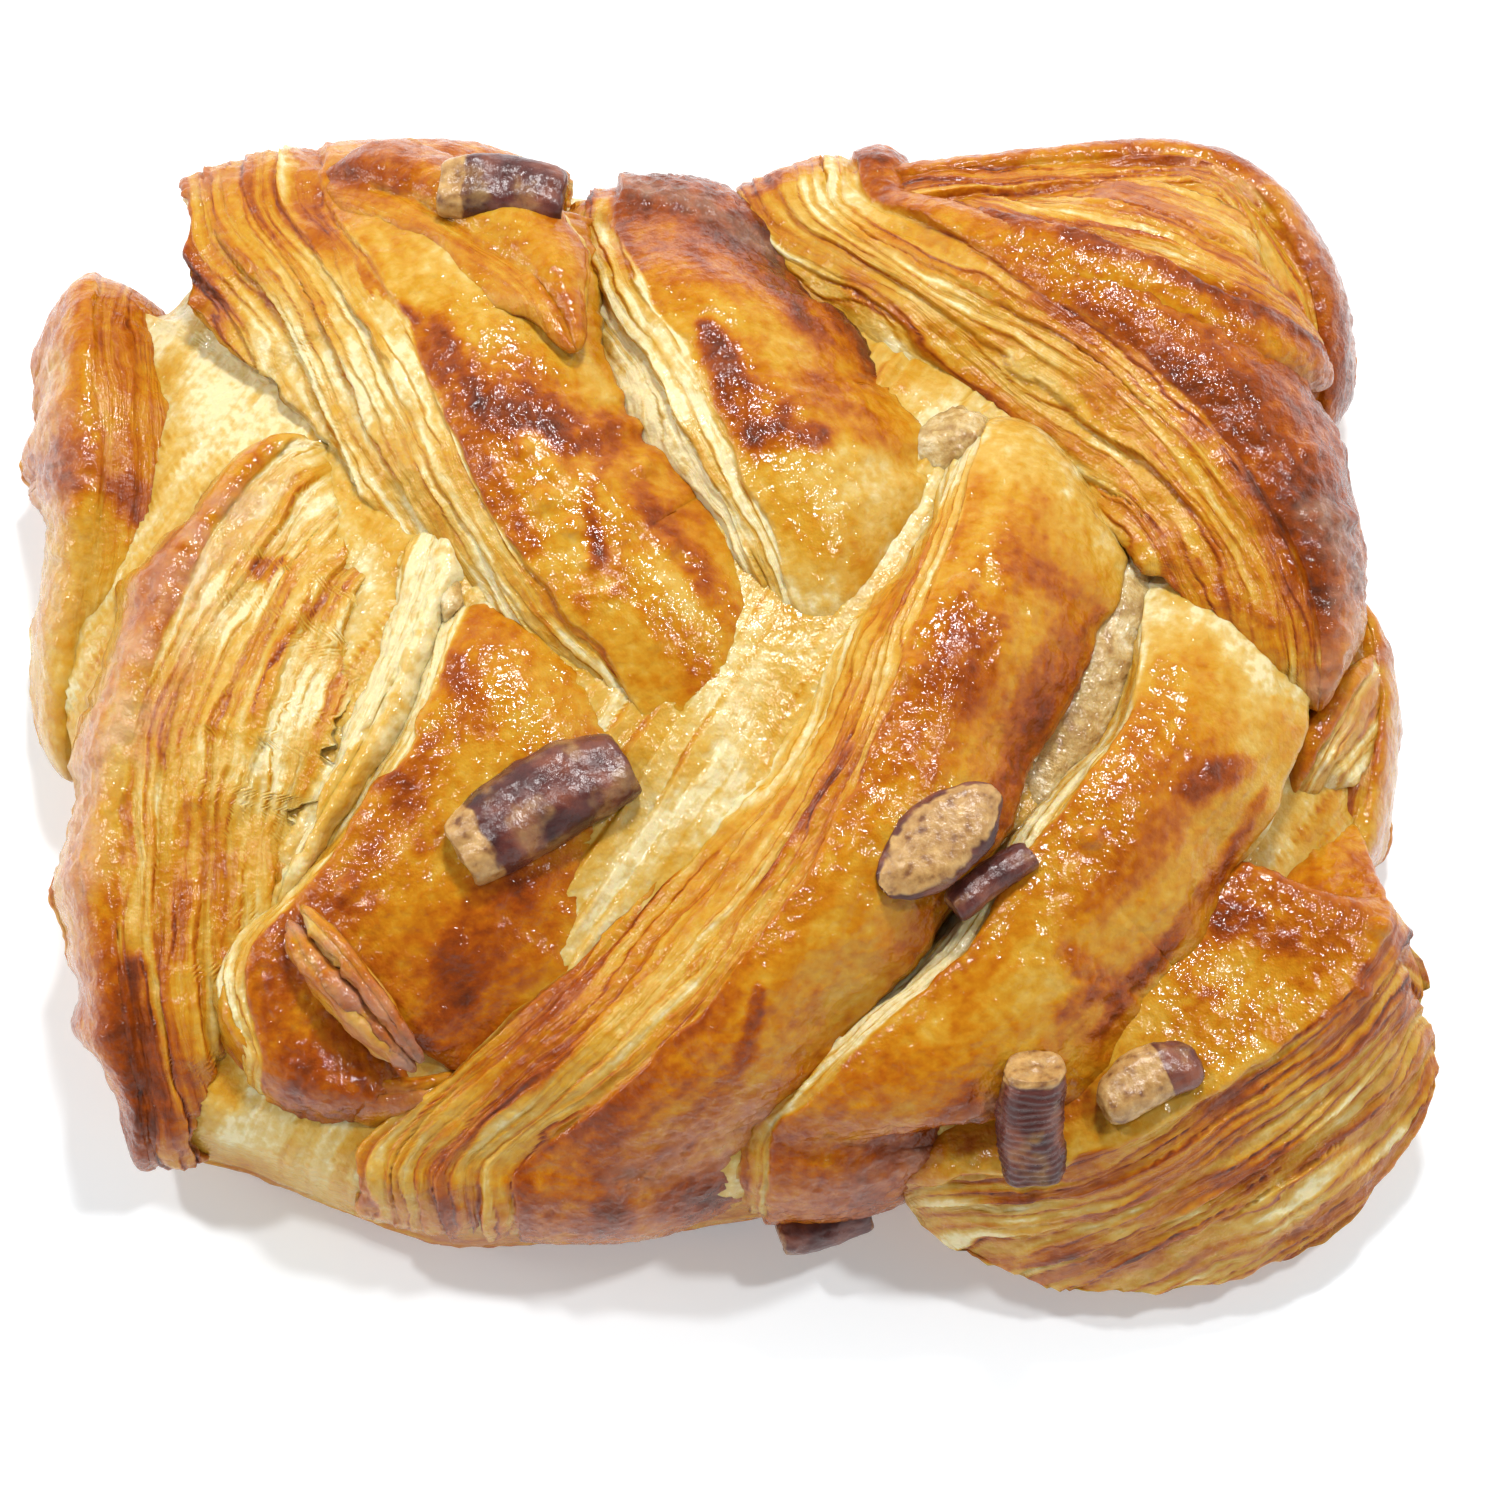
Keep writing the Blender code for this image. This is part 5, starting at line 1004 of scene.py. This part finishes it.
def stage():
    """A pale floor in a bright room that is dark overhead, and the lamps."""
    bm = bmesh.new()
    bmesh.ops.create_grid(bm, x_segments=1, y_segments=1, size=FLOOR_HALF)
    mesh = bpy.data.meshes.new("floor")
    bm.to_mesh(mesh)
    bm.free()
    floor = bpy.data.objects.new("floor", mesh)
    bpy.context.scene.collection.objects.link(floor)
    made, _, shader = new_finish("white_floor")
    shader.inputs["Base Color"].default_value = FLOOR_COLOUR
    shader.inputs["Roughness"].default_value = 0.9
    shader.inputs["Specular IOR Level"].default_value = 0.1
    shader.inputs["Emission Color"].default_value = (1, 1, 1, 1)
    shader.inputs["Emission Strength"].default_value = FLOOR_GLOW
    mesh.materials.append(made)
    world = bpy.data.worlds.new("room")
    world.use_nodes = True
    sky = world.node_tree
    aloft = node(sky, "ShaderNodeSeparateXYZ")
    sky.links.new(node(sky, "ShaderNodeTexCoord").outputs["Generated"], aloft.inputs["Vector"])
    grey = colour_ramp(sky, aloft.outputs["Z"], ROOM_GREYS)
    sky.links.new(grey, sky.nodes["Background"].inputs["Color"])
    sky.nodes["Background"].inputs["Strength"].default_value = ROOM_LIGHT
    bpy.context.scene.world = world
    for name, place, side, power in LAMPS:
        lamp(name, place, side, power)


def lamp(name, place, side, power):
    """A square lamp that looks at the plait."""
    light = bpy.data.lights.new(name, "AREA")
    light.size = side
    light.energy = power
    made = bpy.data.objects.new(name, light)
    made.location = place
    made.rotation_euler = (Vector((0, 0, AIM[2] * MM)) - Vector(place)).to_track_quat("-Z", "Y").to_euler()
    bpy.context.scene.collection.objects.link(made)


def camera():
    """The camera, lifted in front of the plait and shifted so that its aim lands on AIM_PIXEL."""
    data = bpy.data.cameras.new("camera")
    data.sensor_width = SENSOR
    data.lens = SENSOR / (2 * math.tan(math.radians(VIEW_ANGLE / 2)))
    data.clip_start = CLIP_START
    data.shift_x = (VIEW_PIXELS / 2 - AIM_PIXEL[0]) / VIEW_PIXELS
    data.shift_y = (AIM_PIXEL[1] - VIEW_PIXELS / 2) / VIEW_PIXELS
    made = bpy.data.objects.new("camera", data)
    lift = math.radians(LIFT)
    aim = Vector(AIM * MM)
    made.location = aim + DISTANCE * MM * Vector((0, -math.cos(lift), math.sin(lift)))
    made.rotation_euler = (aim - made.location).to_track_quat("-Z", "Y").to_euler()
    bpy.context.scene.collection.objects.link(made)
    bpy.context.scene.camera = made


# ---------------------------------------------------------------- the plait

def build():
    camera()
    stage()
    bpy.context.scene.view_settings.view_transform = "Standard"
    glaze = glaze_group()
    dough, filling, pecan = dough_finish(glaze), filling_finish(glaze), pecan_finish()
    base_dough(dough)
    for k, strip in enumerate(STRIPS):
        dough_strip(strip, 20 * k + 1, dough)
    for k, lump in enumerate(LUMPS):
        filling_lump(k, lump, filling)
    for k, nut in enumerate(NUTS):
        nut_piece(nut, 500 + 10 * k, pecan)


build()
